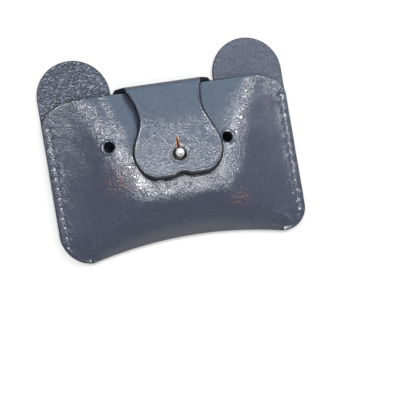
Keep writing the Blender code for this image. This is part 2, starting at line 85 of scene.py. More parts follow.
# Back panel and ears, with heights up the wallet counted from its bottom edge
BODY_WIDTH = 0.100
EAR_CENTRE_UP = 0.0666
EAR_RADIUS = 0.0144
LEFT_CORNER_RADIUS = 0.0125
RIGHT_CORNER_RADIUS = 0.0095
NOTCH_HALF_WIDTH = 0.0390
BOTTOM_HOLLOW = 0.0046
TURN_STEP = 0.0042

# Front panel
MOUTH_UP = 0.0642
MOUTH_CORNER_REACH = 0.0140
MOUTH_CORNER_DROP = 0.0085
MOUTH_HEIGHT = 0.0087
FACE_SLOPE = math.radians(15.1)
SEAM_MARGIN = 0.0042
SEAM_FOOT = 0.0040
SIDE_SLOPE = math.radians(30.0)
BASE_SLOPE = math.radians(36.5)
CREASE_SETBACK = 0.0027
CREASE_RISE = 0.0063
CREASE_ROUNDING = 0.0030
RIDGE_SHARPNESS = 7.0

# Eyes: across, up
LEFT_EYE = (-0.0256, 0.0433)
RIGHT_EYE = (0.0203, 0.0403)
EYE_RADIUS = 0.0021
EYE_ROLL = 0.00025
EYE_LIP_WIDTH = 0.0009
EYE_LIP_HEIGHT = 0.00035
EYE_LIP_FADE = 0.00042

# Soft pleat down the face, left of the flap
PLEAT_START = (-0.0245, 0.0620)
PLEAT_END = (-0.0203, 0.0490)
PLEAT_WIDTH = 0.0013
PLEAT_HEIGHT = 0.00012

# Hollow down the face beside the flap's left edge
TUCK_START = (-0.0150, 0.0640)
TUCK_END = (-0.0118, 0.0500)
TUCK_WIDTH = 0.0026
TUCK_HEIGHT = -0.00050

# Strap that folds over the mouth
STRAP_ROOT_UP = 0.0639
STRAP_FOOT_RADIUS = 0.0020
STRAP_CROWN_RADIUS = 0.0032
STRAP_LEAN = math.radians(6.0)
STRAP_SPREAD_POWER = 1.4

# Flap in the shape of a muzzle
FLAP_LENGTH = 0.0363
NECK_HALF_WIDTH = 0.0129
LEFT_NECK_DISTANCE = 0.0110
LEFT_NECK_FLARE = 0.0028
RIGHT_NECK_DISTANCE = 0.0075
RIGHT_NECK_FLARE = 0.0011
CHEEK_HALF_WIDTH = 0.0175
CHEEK_FROM_CHIN = 0.0103
CHIN_HALF_WIDTH = 0.0090
CHIN_NOTCH_DEPTH = 0.0012
CHIN_NOTCH_HALF_WIDTH = 0.0035
KEYHOLE_ACROSS = 0.0002
KEYHOLE_FROM_CHIN = 0.0085
KEYHOLE_RADIUS = 0.00235
SLIT_LENGTH = 0.0045
SLIT_HALF_WIDTH = 0.0006
DISH_RADIUS = 0.0042
DISH_WALL = 0.0006
DISH_DEPTH = 0.00018
FLAP_ROUNDING = 0.00070
KEYHOLE_ROUNDING_SHARE = 0.6
SLIT_ROUNDING_SHARE = 0.4

# How much further down the chin is cut on its flesh side, and the soft line along the rim
CHIN_SLANT = 0.0008
RIM_INSET = 0.00095
RIM_WIDTH = 0.00022
RIM_HEIGHT = 0.00015

# Ball stud
STUD_BASE_RADIUS = 0.0027
STUD_BASE_HEIGHT = 0.0008
STUD_NECK_RADIUS = 0.0013
STUD_BALL_RADIUS = 0.0017
STUD_BALL_STANDOFF = 0.0014
STUD_HOLE_RADIUS = 0.0010
# Faces of the stud wholly lower than this share of the ball's radius under its centre are painted
# nearly black as shade
STUD_SHADED_SHARE = 0.8
# Where a brown reflection is painted on the ball: how far down the flap, how far out from the
# leather's middle, and its radius
REFLECTION_SPOT_DOWN = 0.0011
REFLECTION_SPOT_OUT = -0.0032
REFLECTION_SPOT_RADIUS = 0.0008

# Side seams. A stitch rises between two holes and dives into them, and the thread twists by
# so many half turns on the way. On the back it lies in a groove
SEAM_INSET = 0.0030
SEAM_TOP_UP = 0.0548
STITCH_PITCH = 0.0039
STITCH_HOLES = 13
THREAD_RADIUS = 0.00030
THREAD_SLANT = math.radians(16.0)
STITCH_LENGTH = 0.0031
STITCH_RISE = 0.00030
STITCH_DIVE = 0.0006
STITCH_TWIST = 1.5
GROOVE_DEPTH = 0.00065
GROOVE_HALF_WIDTH = 0.0008

# Leather beside the seams, pressed down towards the cut edge: its slope there, how far in it
# starts to turn steeper and over what length, and how far the whole edge is drawn down
MARGIN_SLOPE = math.radians(20.5)
MARGIN_WIDTH = 0.00946
MARGIN_BEND = 0.0100
EDGE_FALL = 0.00066

# How that leather turns round the bottom corners, and how sharp the crest above it is
CORNER_FOOT = 0.0012
CORNER_BLEND = 0.0040
CREST_SHARPNESS = 9.5

# What the tight stitches do to the leather: a channel along the seam, a pit at each hole, and
# a pillow beside each stitch
CHANNEL_DEPTH = 0.00008
CHANNEL_WIDTH = 0.0008
CHANNEL_FADE = 0.0012
PIT_DEPTH = 0.00045
PIT_WIDTH = 0.00045
PIT_LENGTH = 0.00040
PILLOW_HEIGHT = 0.00003
PILLOW_INSET = 0.0012
PILLOW_WIDTH = 0.0007

# The two stretched holes at the top right: from how far up, and by how much
TORN_UP = 0.0495
TORN_FADE = 0.002
TORN_STRETCH = 0.7

# Slow unevenness of handled leather: the size and depth of its waves, and a number that picks
# their places
FRONT_WAVES = (0.011, 0.00010, 1)
EAR_WAVES = (0.0035, 0.00016, 2)
FLAP_WAVES = (0.009, 0.00010, 3)
EAR_WAVES_FADE = 0.004
FLAP_WAVES_FADE = 0.006

# Where the leather is crumpled, as its bend attribute says: from nothing to one. On the front
# that follows the curl of the surface, per metre, and is less toward its base
FLAT_BEND = 0.35
CURL_STEP = 0.0015
FULL_CURL = 100.0
SEAM_BEND = 0.35
SEAM_BEND_WIDTH = 0.0026
PLEAT_BEND = 0.8
BASE_UP = 0.014
BASE_FADE = 0.005
BASE_LEAN = 0.35
BASE_BEND_SHARE = 0.1
FLAP_TOP_BEND = 0.03
FLAP_LOW_BEND = 0.42
FLAP_BEND_TOP_UP = 0.056
FLAP_BEND_FADE = 0.012
STUD_BEND = 0.35
STUD_BEND_REACH = 0.006

# Places where the wax is rubbed off, in the part's frame
LEFT_RUB = (-0.0235, -0.0105, 0.0150)
LEFT_RUB_RADIUS = 0.009
RIGHT_RUB = (0.0215, -0.0235, 0.0140)
RIGHT_RUB_RADIUS = 0.006

# Scratches on the flap, as places across and down from the fold
FLAP_SCRATCHES = (
    ((-0.0072, 0.0173), (-0.0040, 0.0222)),
    ((-0.0142, 0.0262), (-0.0060, 0.0282)),
)
SCRATCH_WIDTH = 0.00025

# Spacing of the points that the sheets are drawn with: along the outlines, and inside them,
# closer where the relief is finer, with rows of them beside the flap's rim
OUTLINE_SPACING = 0.0006
SHORT_EDGE_SPACING = 0.0005
KEYHOLE_SPACING = 0.0004
FRONT_SPACING = 0.0007
FRONT_SEAM_SPACING = 0.00034
FRONT_SEAM_BAND = 0.0026
BACK_SPACING = 0.0012
EAR_SPACING = 0.0005
BACK_SEAM_BAND = 0.0017
EAR_FOOT_UP = 0.0535
TURN_SPACING = 0.0006
FLAP_SPACING = 0.0005
RING_SPACING = 0.0002
RIM_ROWS = (0.00082, 0.00097, 0.00115, 0.00135)
RIM_BAND = 0.0015
RIM_START = 0.0008
FILL_CLEARANCE = 0.55

# Distances under which points are merged, and thin triangles dissolved
WELD = 0.000002
SLIVER = 0.000001

# Steps along round stretches, and rings of points round holes
TURN_COLUMNS = 157
EYE_RINGS = 7
DISH_WALL_RINGS = 3
DISH_STEPS = 72
HOLE_STEPS = 48
CORNER_STEPS = 24
MOUTH_CORNER_STEPS = 32
EAR_STEPS = 72
STRAP_STEPS = 40
FLAP_SIDE_STEPS = 48
CHEEK_STEPS = 28
CHIN_NOTCH_STEPS = 8
KEYHOLE_STEPS = 56
STUD_STEPS = 64
STUD_BALL_STEPS = 28
STUD_RIM_STEPS = 10

# Photograph's camera: its place, and the directions of its right, up and back
CAMERA_PLACE = (-0.036609, -0.028865, 0.304727)
CAMERA_RIGHT = (0.97458, -0.16762, 0.14864)
CAMERA_UP = (0.16441, 0.98582, 0.03372)
CAMERA_BACK = (-0.15219, -0.00842, 0.98832)
CAMERA_LENS_MM = 65.5

# Soft boxes round the table: name, place, width and length, brightness beside that of white
# paper, and colour
SOFTBOXES = (
    ("softbox_overhead", (0.19, -0.29, 1.10), (0.36, 0.88), 7.8, "#ffffff"),
    ("softbox_behind", (0.34, 0.42, 1.04), (0.80, 0.22), 3.6, "#ffffff"),
    ("softbox_left", (-0.35, 0.35, 1.03), (0.23, 0.24), 29.0, "#ffffff"),
    ("softbox_far_left", (-0.74, 0.36, 0.80), (0.20, 0.14), 9.0, "#ffffff"),
    ("softbox_right", (0.76, 0.36, 0.78), (0.28, 0.18), 22.0, "#ffffff"),
    ("softbox_low_right", (1.02, 0.34, 0.36), (0.40, 0.30), 1.0, "#dff4ff"),
    ("softbox_far_behind", (0.26, 1.00, 0.60), (0.90, 0.95), 0.86, "#b2e0f6"),
)
TABLE_RADIUS = 3.0
TABLE_STEPS = 64

# Sizes that follow from the ones above
HALF_WIDTH = BODY_WIDTH / 2
OVERALL_LENGTH = EAR_CENTRE_UP + EAR_RADIUS
EAR_ACROSS = HALF_WIDTH - EAR_RADIUS
EAR_INNER_ACROSS = EAR_ACROSS - EAR_RADIUS
LAP_TOP = 2 * LEATHER + GAP
TURN_RADIUS = LAP_TOP / 2
CHEEK_DISTANCE = FLAP_LENGTH - CHEEK_FROM_CHIN
KEYHOLE_DISTANCE = FLAP_LENGTH - KEYHOLE_FROM_CHIN
FLAP_MIDDLE_LIFT = STUD_BASE_HEIGHT + 2 * GAP + LEATHER / 2
SEAM_ACROSS = HALF_WIDTH - SEAM_INSET
SEAM_BOTTOM_UP = SEAM_TOP_UP - STITCH_PITCH * (STITCH_HOLES - 1)

# Places of the hide's materials in the list that each of its pieces has
GRAIN, FLESH, EDGE, RAW_EDGE = range(4)


# Materials

def linear(code):
    """The linear colour of an sRGB hex code."""
    parts = [int(code[place:place + 2], 16) / 255 for place in (1, 3, 5)]
    return (*[part / 12.92 if part <= 0.04045 else ((part + 0.055) / 1.055) ** 2.4
              for part in parts], 1.0)


def set_inputs(node, inputs):
    """Put values, or other nodes' sockets, on a node's inputs, by name or in their order."""
    pairs = inputs.items() if isinstance(inputs, dict) else enumerate(inputs)
    for name, value in pairs:
        if isinstance(value, bpy.types.NodeSocket):
            node.id_data.links.new(value, node.inputs[name])
        else:
            node.inputs[name].default_value = value


def add_node(tree, kind, inputs=(), out=0, **settings):
    """Add a node with its settings, values and links, and give the output asked for."""
    made = tree.nodes.new(kind)
    for name, value in settings.items():
        setattr(made, name, value)
    set_inputs(made, inputs)
    return made.outputs[out]


def new_material(name):
    """A material with its tree, its shader and the places of the piece it is on."""
    made = bpy.data.materials.new(name)
    made.use_nodes = True
    place = add_node(made.node_tree, "ShaderNodeTexCoord", out="Object")
    return made, made.node_tree, made.node_tree.nodes["Principled BSDF"], place


def warped(tree, place, scale, reach):
    """Places pushed about by a slow noise, so that a pattern on them runs crooked."""
    push = add_node(tree, "ShaderNodeTexNoise", {"Vector": place, "Scale": scale, "Detail": 2.0},
                    "Color")
    push = add_node(tree, "ShaderNodeVectorMath", (push, (-0.5,) * 3))
    push = add_node(tree, "ShaderNodeVectorMath", (push, (reach,) * 3), operation="MULTIPLY")
    return add_node(tree, "ShaderNodeVectorMath", (place, push))


def furrows(tree, place, scale, detail=3.0):
    """Narrow crooked valleys between broad tops, as 0 to 1."""
    noise = add_node(tree, "ShaderNodeTexNoise", {
        "Vector": place, "Scale": scale, "Detail": detail, "Roughness": 0.55})
    swing = add_node(tree, "ShaderNodeMath", (noise, 0.5), operation="SUBTRACT")
    swing = add_node(tree, "ShaderNodeMath", (swing,), operation="ABSOLUTE")
    return add_node(tree, "ShaderNodeMapRange", (swing, 0.0, 0.14))


def spot(tree, place, centre, radius):
    """One at a place on the hide, fading to nothing at a distance from it."""
    away = add_node(tree, "ShaderNodeVectorMath", (place, centre), "Value", operation="DISTANCE")
    return add_node(tree, "ShaderNodeMapRange", (away, 0.0, radius, 1.0, 0.0))


def scratch(tree, place, start, end):
    """One along a straight scratch between two places, fading to its sides."""
    reach = Vector(end) - Vector(start)
    away = add_node(tree, "ShaderNodeVectorMath", (place, start), operation="SUBTRACT")
    share = add_node(tree, "ShaderNodeVectorMath", (away, reach / reach.length_squared), "Value",
                     operation="DOT_PRODUCT")
    share = add_node(tree, "ShaderNodeClamp", (share,))
    nearest = add_node(tree, "ShaderNodeVectorMath", {0: reach, "Scale": share},
                       operation="SCALE")
    gap = add_node(tree, "ShaderNodeVectorMath", (away, nearest), "Value", operation="DISTANCE")
    return add_node(tree, "ShaderNodeMapRange", (gap, 0.0, SCRATCH_WIDTH, 1.0, 0.0))


def rubbed_patches(tree, place):
    """Flecks where the wax is rubbed off at the two sides of the front, as 0 to 0.7."""
    rub = add_node(tree, "ShaderNodeMath", (spot(tree, place, LEFT_RUB, LEFT_RUB_RADIUS),
                                            spot(tree, place, RIGHT_RUB, RIGHT_RUB_RADIUS)))
    flecks = add_node(tree, "ShaderNodeTexNoise", {
        "Vector": place, "Scale": 1.1 / MILLIMETRE, "Detail": 3.0})
    flecks = add_node(tree, "ShaderNodeMapRange", (flecks, 0.50, 0.62))
    rub = add_node(tree, "ShaderNodeMath", (rub, flecks), operation="MULTIPLY")
    return add_node(tree, "ShaderNodeMath", (rub, 0.7), operation="MULTIPLY")


def dark_ring_round_keyhole(tree, place):
    """A darker ring round the keyhole, out to the wall of the flap's dish, as 0 to 0.7."""
    away = add_node(tree, "ShaderNodeVectorMath", (
        place, on_flap(KEYHOLE_ACROSS, KEYHOLE_DISTANCE)), "Value", operation="DISTANCE")
    return add_node(tree, "ShaderNodeMapRange", (
        away, DISH_RADIUS - DISH_WALL, DISH_RADIUS, 0.7, 0.0))


def flap_scratches(tree, bent):
    """The flap's scratches, as 0 to 0.7."""
    scratched = 0.0
    for start, end in FLAP_SCRATCHES:
        one = scratch(tree, bent, on_flap(*start), on_flap(*end))
        scratched = add_node(tree, "ShaderNodeMath", (one, scratched), operation="MAXIMUM")
    return add_node(tree, "ShaderNodeMath", (scratched, 0.7), operation="MULTIPLY")


def grain_colour(tree, place, bent, crumples):
    """Slate-dyed colour that varies from place to place, with shade painted into the crumples'
    creases, the wax rubbed pink in two patches, a darker ring round the keyhole and pale scratches."""
    broad = add_node(tree, "ShaderNodeTexNoise", {
        "Vector": place, "Scale": 0.09 / MILLIMETRE, "Detail": 3.0})
    broad = add_node(tree, "ShaderNodeMapRange", (broad, 0.3, 0.7))
    # Shade painted into the crumples: darkest in their creases, lighter on their tops
    tops = add_node(tree, "ShaderNodeMath", (crumples, 0.6), operation="MULTIPLY")
    dye_and_shade = add_node(tree, "ShaderNodeMix", {
        0: broad, 6: linear("#404352"), 7: linear("#484f5d")}, 2, data_type="RGBA")
    dye_and_shade = add_node(tree, "ShaderNodeMix", {0: tops, 6: linear("#363a4b"), 7: dye_and_shade}, 2,
                   data_type="RGBA")
    for share, tint in ((rubbed_patches(tree, place), "#8a6a5e"),
                        (dark_ring_round_keyhole(tree, place), "#262c31"),
                        (flap_scratches(tree, bent), "#8f98a8")):
        dye_and_shade = add_node(tree, "ShaderNodeMix", {0: share, 6: dye_and_shade, 7: linear(tint)}, 2,
                       data_type="RGBA")
    return dye_and_shade


def grain_leather():
    """Aniline-dyed cowhide with a waxed and polished grain side. Its wax layer mirrors the
    lamps in a soft sheen, which the grain's pebbles and the crumples where it bends break up."""
    made, tree, shader, place = new_material("waxed_cowhide_grain_side")
    # Pebbles 0.8 mm apart, crumples 1.3 mm apart, and pores 0.3 mm apart, drawn coarser than
    # the real pores so that they show
    bent = warped(tree, place, 0.5 / MILLIMETRE, 1.2 * MILLIMETRE)
    pebbles = add_node(tree, "ShaderNodeTexVoronoi", {"Vector": bent, "Scale": 1.2 / MILLIMETRE},
                       feature="DISTANCE_TO_EDGE")
    pebbles = add_node(tree, "ShaderNodeMapRange", (pebbles, 0.0, 0.30))
    crumples = furrows(tree, bent, 0.75 / MILLIMETRE)
    pores = add_node(tree, "ShaderNodeTexNoise", {
        "Vector": place, "Scale": 3.0 / MILLIMETRE, "Detail": 2.0, "Roughness": 0.6})
    # The crumples come in patches about 4 mm wide, where the bend attribute calls for them
    bend = add_node(tree, "ShaderNodeAttribute", out="Fac", attribute_name="bend")
    patches = add_node(tree, "ShaderNodeTexNoise", {
        "Vector": place, "Scale": 0.26 / MILLIMETRE, "Detail": 2.0})
    patches = add_node(tree, "ShaderNodeMapRange", (patches, 0.38, 0.60, 0.35, 1.2))
    patches = add_node(tree, "ShaderNodeMath", (bend, patches), operation="MULTIPLY")
    patches = add_node(tree, "ShaderNodeMapRange", (patches, 0.0, 1.0, 0.12, 1.3))
    height = add_node(tree, "ShaderNodeMath", (crumples, patches), operation="MULTIPLY")
    height = add_node(tree, "ShaderNodeMath", (pebbles, 0.10, height), operation="MULTIPLY_ADD")
    height = add_node(tree, "ShaderNodeMath", (pores, 0.05, height), operation="MULTIPLY_ADD")
    normal = add_node(tree, "ShaderNodeBump", {
        "Strength": 1.0, "Distance": 0.12 * MILLIMETRE, "Height": height})
    set_inputs(shader, {
        "Base Color": grain_colour(tree, place, bent, crumples),
        "Roughness": add_node(tree, "ShaderNodeMapRange", (pores, 0.3, 0.7, 0.16, 0.27)),
        "Normal": normal, "Specular IOR Level": 1.0, "Coat Normal": normal,
        "Coat Weight": 1.0, "Coat Roughness": 0.12, "Coat IOR": 1.5})
    return made


def flesh_leather():
    """The flesh side of the hide, rolled smooth, sealed and dyed: nearly matt, and crumpled into
    short crooked ridges, with shade painted near black into the creases between them; the ridges
    and their painted shade are both less on the right."""
    made, tree, shader, place = new_material("sealed_cowhide_flesh_side")
    # Ridges 0.9 mm apart and twice as long, with a nap 0.4 mm apart, coarser than the real one
    # so that it shows
    drawn = add_node(tree, "ShaderNodeMapping", {
        "Vector": place, "Scale": (0.5, 1.0, 1.0), "Rotation": (0.0, 0.0, math.radians(8.0))})
    bent = warped(tree, drawn, 0.8 / MILLIMETRE, 1.2 * MILLIMETRE)
    ridges = furrows(tree, bent, 1.1 / MILLIMETRE, 1.0)
    nap = add_node(tree, "ShaderNodeTexNoise", {
        "Vector": place, "Scale": 2.4 / MILLIMETRE, "Detail": 3.0, "Roughness": 0.65})
    relief_and_crease_shade = add_node(tree, "ShaderNodeMapRange", (nap, 0.25, 0.75, 0.6, 1.0))
    relief_and_crease_shade = add_node(tree, "ShaderNodeMath", (ridges, relief_and_crease_shade), operation="MULTIPLY")
    across = add_node(tree, "ShaderNodeSeparateXYZ", (place,), "X")
    ironed = add_node(tree, "ShaderNodeMapRange", (
        across, -20.0 * MILLIMETRE, 20.0 * MILLIMETRE, 0.0, 0.55))
    even = add_node(tree, "ShaderNodeMapRange", (nap, 0.28, 0.60))
    relief_and_crease_shade = add_node(tree, "ShaderNodeMix", {0: ironed, 2: relief_and_crease_shade, 3: even}, data_type="FLOAT")
    # The creases are painted near black as shade; on the right the ridges and their painted shade
    # fade into the even nap
    set_inputs(shader, {
        "Base Color": add_node(tree, "ShaderNodeMix", {
            0: relief_and_crease_shade, 6: linear("#0b0d16"), 7: linear("#6e7589")}, 2, data_type="RGBA"),
        "Normal": add_node(tree, "ShaderNodeBump", {
            "Strength": 1.0, "Distance": 0.42 * MILLIMETRE, "Height": relief_and_crease_shade}),
        "Roughness": 0.32, "Specular IOR Level": 0.9})
    return made


def painted_edge():
    """Cut edge of the hide, sanded round and painted dark: smooth, with a dull shine."""
    made, tree, shader, place = new_material("edge_painted_cowhide")
    # Brush marks 1.7 mm apart
    wear = add_node(tree, "ShaderNodeTexNoise", {
        "Vector": place, "Scale": 0.6 / MILLIMETRE, "Detail": 3.0})
    worn = add_node(tree, "ShaderNodeMapRange", (wear, 0.35, 0.7))
    set_inputs(shader, {
        "Base Color": add_node(tree, "ShaderNodeMix", {
            0: worn, 6: linear("#0c0d12"), 7: linear("#1b1d27")}, 2, data_type="RGBA"),
        "Normal": add_node(tree, "ShaderNodeBump", {
            "Strength": 0.6, "Distance": 0.06 * MILLIMETRE, "Height": wear}),
        "Roughness": 0.5, "Specular IOR Level": 0.35})
    return made


def raw_edge():
    """Punched edge left unpainted: the tan fibres of the hide show."""
    made, tree, shader, place = new_material("raw_tan_cowhide_edge")
    # Bundles of fibre 0.4 mm apart
    fibres = add_node(tree, "ShaderNodeTexNoise", {
        "Vector": place, "Scale": 2.5 / MILLIMETRE, "Detail": 3.0})
    shade = add_node(tree, "ShaderNodeMapRange", (fibres, 0.35, 0.65))
    set_inputs(shader, {
        "Base Color": add_node(tree, "ShaderNodeMix", {
            0: shade, 6: linear("#7a4a2c"), 7: linear("#b9825a")}, 2, data_type="RGBA"),
        "Normal": add_node(tree, "ShaderNodeBump", {
            "Strength": 0.7, "Distance": 0.08 * MILLIMETRE, "Height": fibres}),
        "Roughness": 0.8})
    return made


def nickel_plate():
    """Brass turned on a lathe, tumbled and nickel plated: a pale satin that blurs the lamps, with a
    brown reflection painted low on the ball."""
    made, tree, shader, place = new_material("satin_nickel_plate")
    # Haze 0.7 mm apart, coarser than the tumbling leaves it so that it shows
    haze = add_node(tree, "ShaderNodeTexNoise", {
        "Vector": place, "Scale": 1.5 / MILLIMETRE, "Detail": 2.0})
    colour = add_node(tree, "ShaderNodeMix", {
        0: haze, 6: linear("#eeeae5"), 7: linear("#faf8f5")}, 2, data_type="RGBA")
    # A brown reflection painted on the ball's lower side
    low = on_flap(KEYHOLE_ACROSS, KEYHOLE_DISTANCE + REFLECTION_SPOT_DOWN, REFLECTION_SPOT_OUT)
    brown_reflection = add_node(tree, "ShaderNodeMapRange", (
        spot(tree, place, low, REFLECTION_SPOT_RADIUS), 0.0, 0.6, 0.0, 0.8))
    set_inputs(shader, {
        "Base Color": add_node(tree, "ShaderNodeMix", {
            0: brown_reflection, 6: colour, 7: linear("#6d4a3c")}, 2, data_type="RGBA"),
        "Roughness": add_node(tree, "ShaderNodeMapRange", (haze, 0.3, 0.7, 0.20, 0.30)),
        "Metallic": 0.45})
    return made


def nickel_painted_as_shade():
    """Nickel plate of the stud's base and neck, painted nearly black as the shade they sit in down
    in the hole.
    """
    made, tree, shader, place = new_material("nickel_plate_painted_as_shade")
    # Blotches 0.8 mm apart
    blotches = add_node(tree, "ShaderNodeTexNoise", {
        "Vector": place, "Scale": 1.3 / MILLIMETRE, "Detail": 3.0})
    set_inputs(shader, {
        "Base Color": add_node(tree, "ShaderNodeMix", {
            0: blotches, 6: linear("#15161b"), 7: linear("#2b2a2c")}, 2, data_type="RGBA"),
        "Roughness": add_node(tree, "ShaderNodeMapRange", (blotches, 0.3, 0.7, 0.5, 0.7)),
        "Metallic": 0.4})
    return made


def zinc_plate():
    """Steel screw, barrel plated with zinc: a grey satin with fine scuffs."""
    made, tree, shader, place = new_material("zinc_plated_steel_screw")
    # Scuffs 0.6 mm apart, coarser than the real ones so that they show
    scuffs = add_node(tree, "ShaderNodeTexNoise", {
        "Vector": place, "Scale": 1.8 / MILLIMETRE, "Detail": 3.0})
    set_inputs(shader, {
        "Base Color": add_node(tree, "ShaderNodeMix", {
            0: scuffs, 6: linear("#a7a9ab"), 7: linear("#c6c7c8")}, 2, data_type="RGBA"),
        "Roughness": add_node(tree, "ShaderNodeMapRange", (scuffs, 0.3, 0.7, 0.28, 0.45)),
        "Metallic": 1.0})
    return made


def waxed_thread():
    """Linen thread twisted from three plies and drawn through wax: a dark, dull sheen."""
    made, tree, shader, place = new_material("waxed_linen_thread")
    # Fibres 0.2 mm apart, coarser than flax so that they show
    fibres = add_node(tree, "ShaderNodeTexNoise", {
        "Vector": place, "Scale": 5.0 / MILLIMETRE, "Detail": 2.0})
    shade = add_node(tree, "ShaderNodeMapRange", (fibres, 0.3, 0.7))
    set_inputs(shader, {
        "Base Color": add_node(tree, "ShaderNodeMix", {
            0: shade, 6: linear("#40434f"), 7: linear("#7c808c")}, 2, data_type="RGBA"),
        "Normal": add_node(tree, "ShaderNodeBump", {
            "Strength": 0.5, "Distance": 0.04 * MILLIMETRE, "Height": fibres}),
        "Roughness": 0.45})
    return made


# The wallet's own surface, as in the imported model

def placed(across, up, height):
    """Points of the wallet in the part's frame, from their places across, up and out of it."""
    return np.stack(np.broadcast_arrays(across, up - OVERALL_LENGTH / 2, height), -1)


def corner_edge(across):
    """How far up the rounded bottom corner is at a place across the wallet."""
    radius = np.where(across < 0, LEFT_CORNER_RADIUS, RIGHT_CORNER_RADIUS)
    reach = np.maximum(np.abs(across) - (HALF_WIDTH - radius), 0)
    return radius - np.sqrt(np.maximum(radius ** 2 - reach ** 2, 0))


def fullness(across):
    """One at the middle of the bottom turn, and nothing at its two ends."""
    return np.maximum(1 - (across / NOTCH_HALF_WIDTH) ** 2, 0)


def turn_edge(across):
    return BOTTOM_HOLLOW * fullness(across)


def crease(across):
    """The place up, and the height, of the crease above the bottom turn."""
    share = fullness(across)
    up = turn_edge(across) + TURN_RADIUS + CREASE_SETBACK * share
    return up, LAP_TOP + CREASE_RISE * share


def foot_line(across):
    share = (HALF_WIDTH - np.abs(across)) / (HALF_WIDTH - NOTCH_HALF_WIDTH)
    corner = corner_edge(across) + TURN_RADIUS * share
    return np.where(np.abs(across) <= NOTCH_HALF_WIDTH, crease(across)[0], corner)


def ramp(distance, slope, foot):
    """A rise that leaves the flat over a foot and then keeps its slope."""
    distance = np.maximum(distance, 0)
    foot = np.maximum(foot, 1e-9)
    return math.tan(slope) * np.where(distance < foot, distance ** 2 / (2 * foot),
                                      distance - foot / 2)


def soft_least(rises, sharpness):
    """The least of some rises, rounded where two of them are close."""
    rises = np.maximum(np.stack(np.broadcast_arrays(*rises)), 1e-12)
    least = rises.min(0)
    return least * ((least / rises) ** sharpness).sum(0) ** (-1 / sharpness)


def front_height(across, up):
    """The height of the front panel's grain side: four slopes that meet in a rounded ridge."""
    inside = HALF_WIDTH - SEAM_MARGIN
    foot = SEAM_FOOT * (1 - fullness(across))
    base = CREASE_RISE * fullness(across)
    face = MOUTH_HEIGHT - LAP_TOP + (MOUTH_UP - up) * math.tan(FACE_SLOPE)
    return LAP_TOP + soft_least((
        ramp(inside - across, SIDE_SLOPE, SEAM_FOOT),
        ramp(inside + across, SIDE_SLOPE, SEAM_FOOT),
        base + ramp(up - foot_line(across), BASE_SLOPE, foot),
        face,
    ), RIDGE_SHARPNESS)


def edge_distance(across, up, side):
    """How far a place is from the cut edge at one side and its rounded bottom corner."""
    radius = LEFT_CORNER_RADIUS if side < 0 else RIGHT_CORNER_RADIUS
    reach = side * across - (HALF_WIDTH - radius)
    drop = np.maximum(radius - up, 0) * eased(np.clip(reach / CORNER_BLEND, 0, 1))
    return np.where(reach > 0, radius - np.hypot(reach, drop), radius - reach)


def margin_rise(inward):
    """The rise of the leather beside a seam: gentle up from the cut edge, then steeper."""
    steeper = math.atan(math.tan(SIDE_SLOPE) - math.tan(MARGIN_SLOPE))
    return math.tan(MARGIN_SLOPE) * inward + ramp(inward - MARGIN_WIDTH, steeper, MARGIN_BEND)


def front_shape(across, up):
    """The grain side as the seams draw it: as front_height, but pressed down at its edges."""
    foot = CORNER_FOOT * (1 - fullness(across))
    base = CREASE_RISE * fullness(across) + EDGE_FALL * np.clip(
        (up - corner_edge(across)) / (TURN_RADIUS + CORNER_FOOT), 0, 1)
    face = MOUTH_HEIGHT - LAP_TOP + (MOUTH_UP - up) * math.tan(FACE_SLOPE)
    return LAP_TOP - EDGE_FALL + soft_least((
        margin_rise(edge_distance(across, up, 1)),
        margin_rise(edge_distance(across, up, -1)),
        base + ramp(up - foot_line(across), BASE_SLOPE, foot),
        face + EDGE_FALL,
    ), CREST_SHARPNESS)


def front_normal(across, up):
    step = GAP / 2
    slope = (front_shape(across + step, up) - front_shape(across - step, up)) / (2 * step)
    rise = (front_shape(across, up + step) - front_shape(across, up - step)) / (2 * step)
    normal = np.stack((-slope, -rise, np.ones_like(slope)), -1)
    return normal / np.linalg.norm(normal, axis=-1, keepdims=True)


def mouth_edge(across):
    """How far up the mouth's edge is, with its two rounded corners."""
    reach = np.maximum(np.abs(across) - (HALF_WIDTH - MOUTH_CORNER_REACH), 0)
    share = np.minimum(reach / MOUTH_CORNER_REACH, 1)
    return MOUTH_UP - MOUTH_CORNER_DROP * (1 - np.sqrt(np.maximum(1 - share ** 2, 0)))


def turn_tangent(across):
    """The direction, seen along the bottom turn, in which its straight wall faces."""
    up, height = crease(across)
    along, rise = up - turn_edge(across) - TURN_RADIUS, height - TURN_RADIUS
    return np.arctan2(rise, along) + np.arccos(np.minimum(TURN_RADIUS / np.hypot(along, rise), 1))


def face_height(up):
    return MOUTH_HEIGHT + (MOUTH_UP - up) * math.tan(FACE_SLOPE)


def flap_line(up):
    return face_height(up) + FLAP_MIDDLE_LIFT / math.cos(FACE_SLOPE)


def strap_outward():
    return Vector((math.cos(STRAP_LEAN), math.sin(STRAP_LEAN)))


def strap_foot_centre():
    return Vector((STRAP_ROOT_UP, LEATHER / 2 + STRAP_FOOT_RADIUS))


def strap_crown_centre():
    """The centre of the strap's upper bend, which is tangent to its wall and to the flap."""
    low = strap_foot_centre() + strap_outward() * (STRAP_FOOT_RADIUS - STRAP_CROWN_RADIUS)
    along = Vector((-math.sin(STRAP_LEAN), math.cos(STRAP_LEAN)))
    rise = flap_line(low.x) - STRAP_CROWN_RADIUS / math.cos(FACE_SLOPE) - low.y
    return low + along * rise / (along.y + along.x * math.tan(FACE_SLOPE))


def flap_frame():
    """Where the flap's plate starts, with its length running down the face."""
    out = Vector((math.sin(FACE_SLOPE), math.cos(FACE_SLOPE)))
    start = strap_crown_centre() + out * STRAP_CROWN_RADIUS
    return (Matrix.Translation(placed(0, *start))
            @ Matrix.Rotation(math.pi - FACE_SLOPE, 4, "X"))


def on_flap(across, distance, under=-LEATHER / 2):
    """A place on the flap in the part's frame, from its place across and down from the fold,
    and how far under the middle of the leather it is: on the grain side if not told."""
    return flap_frame() @ Vector((across, distance, under))


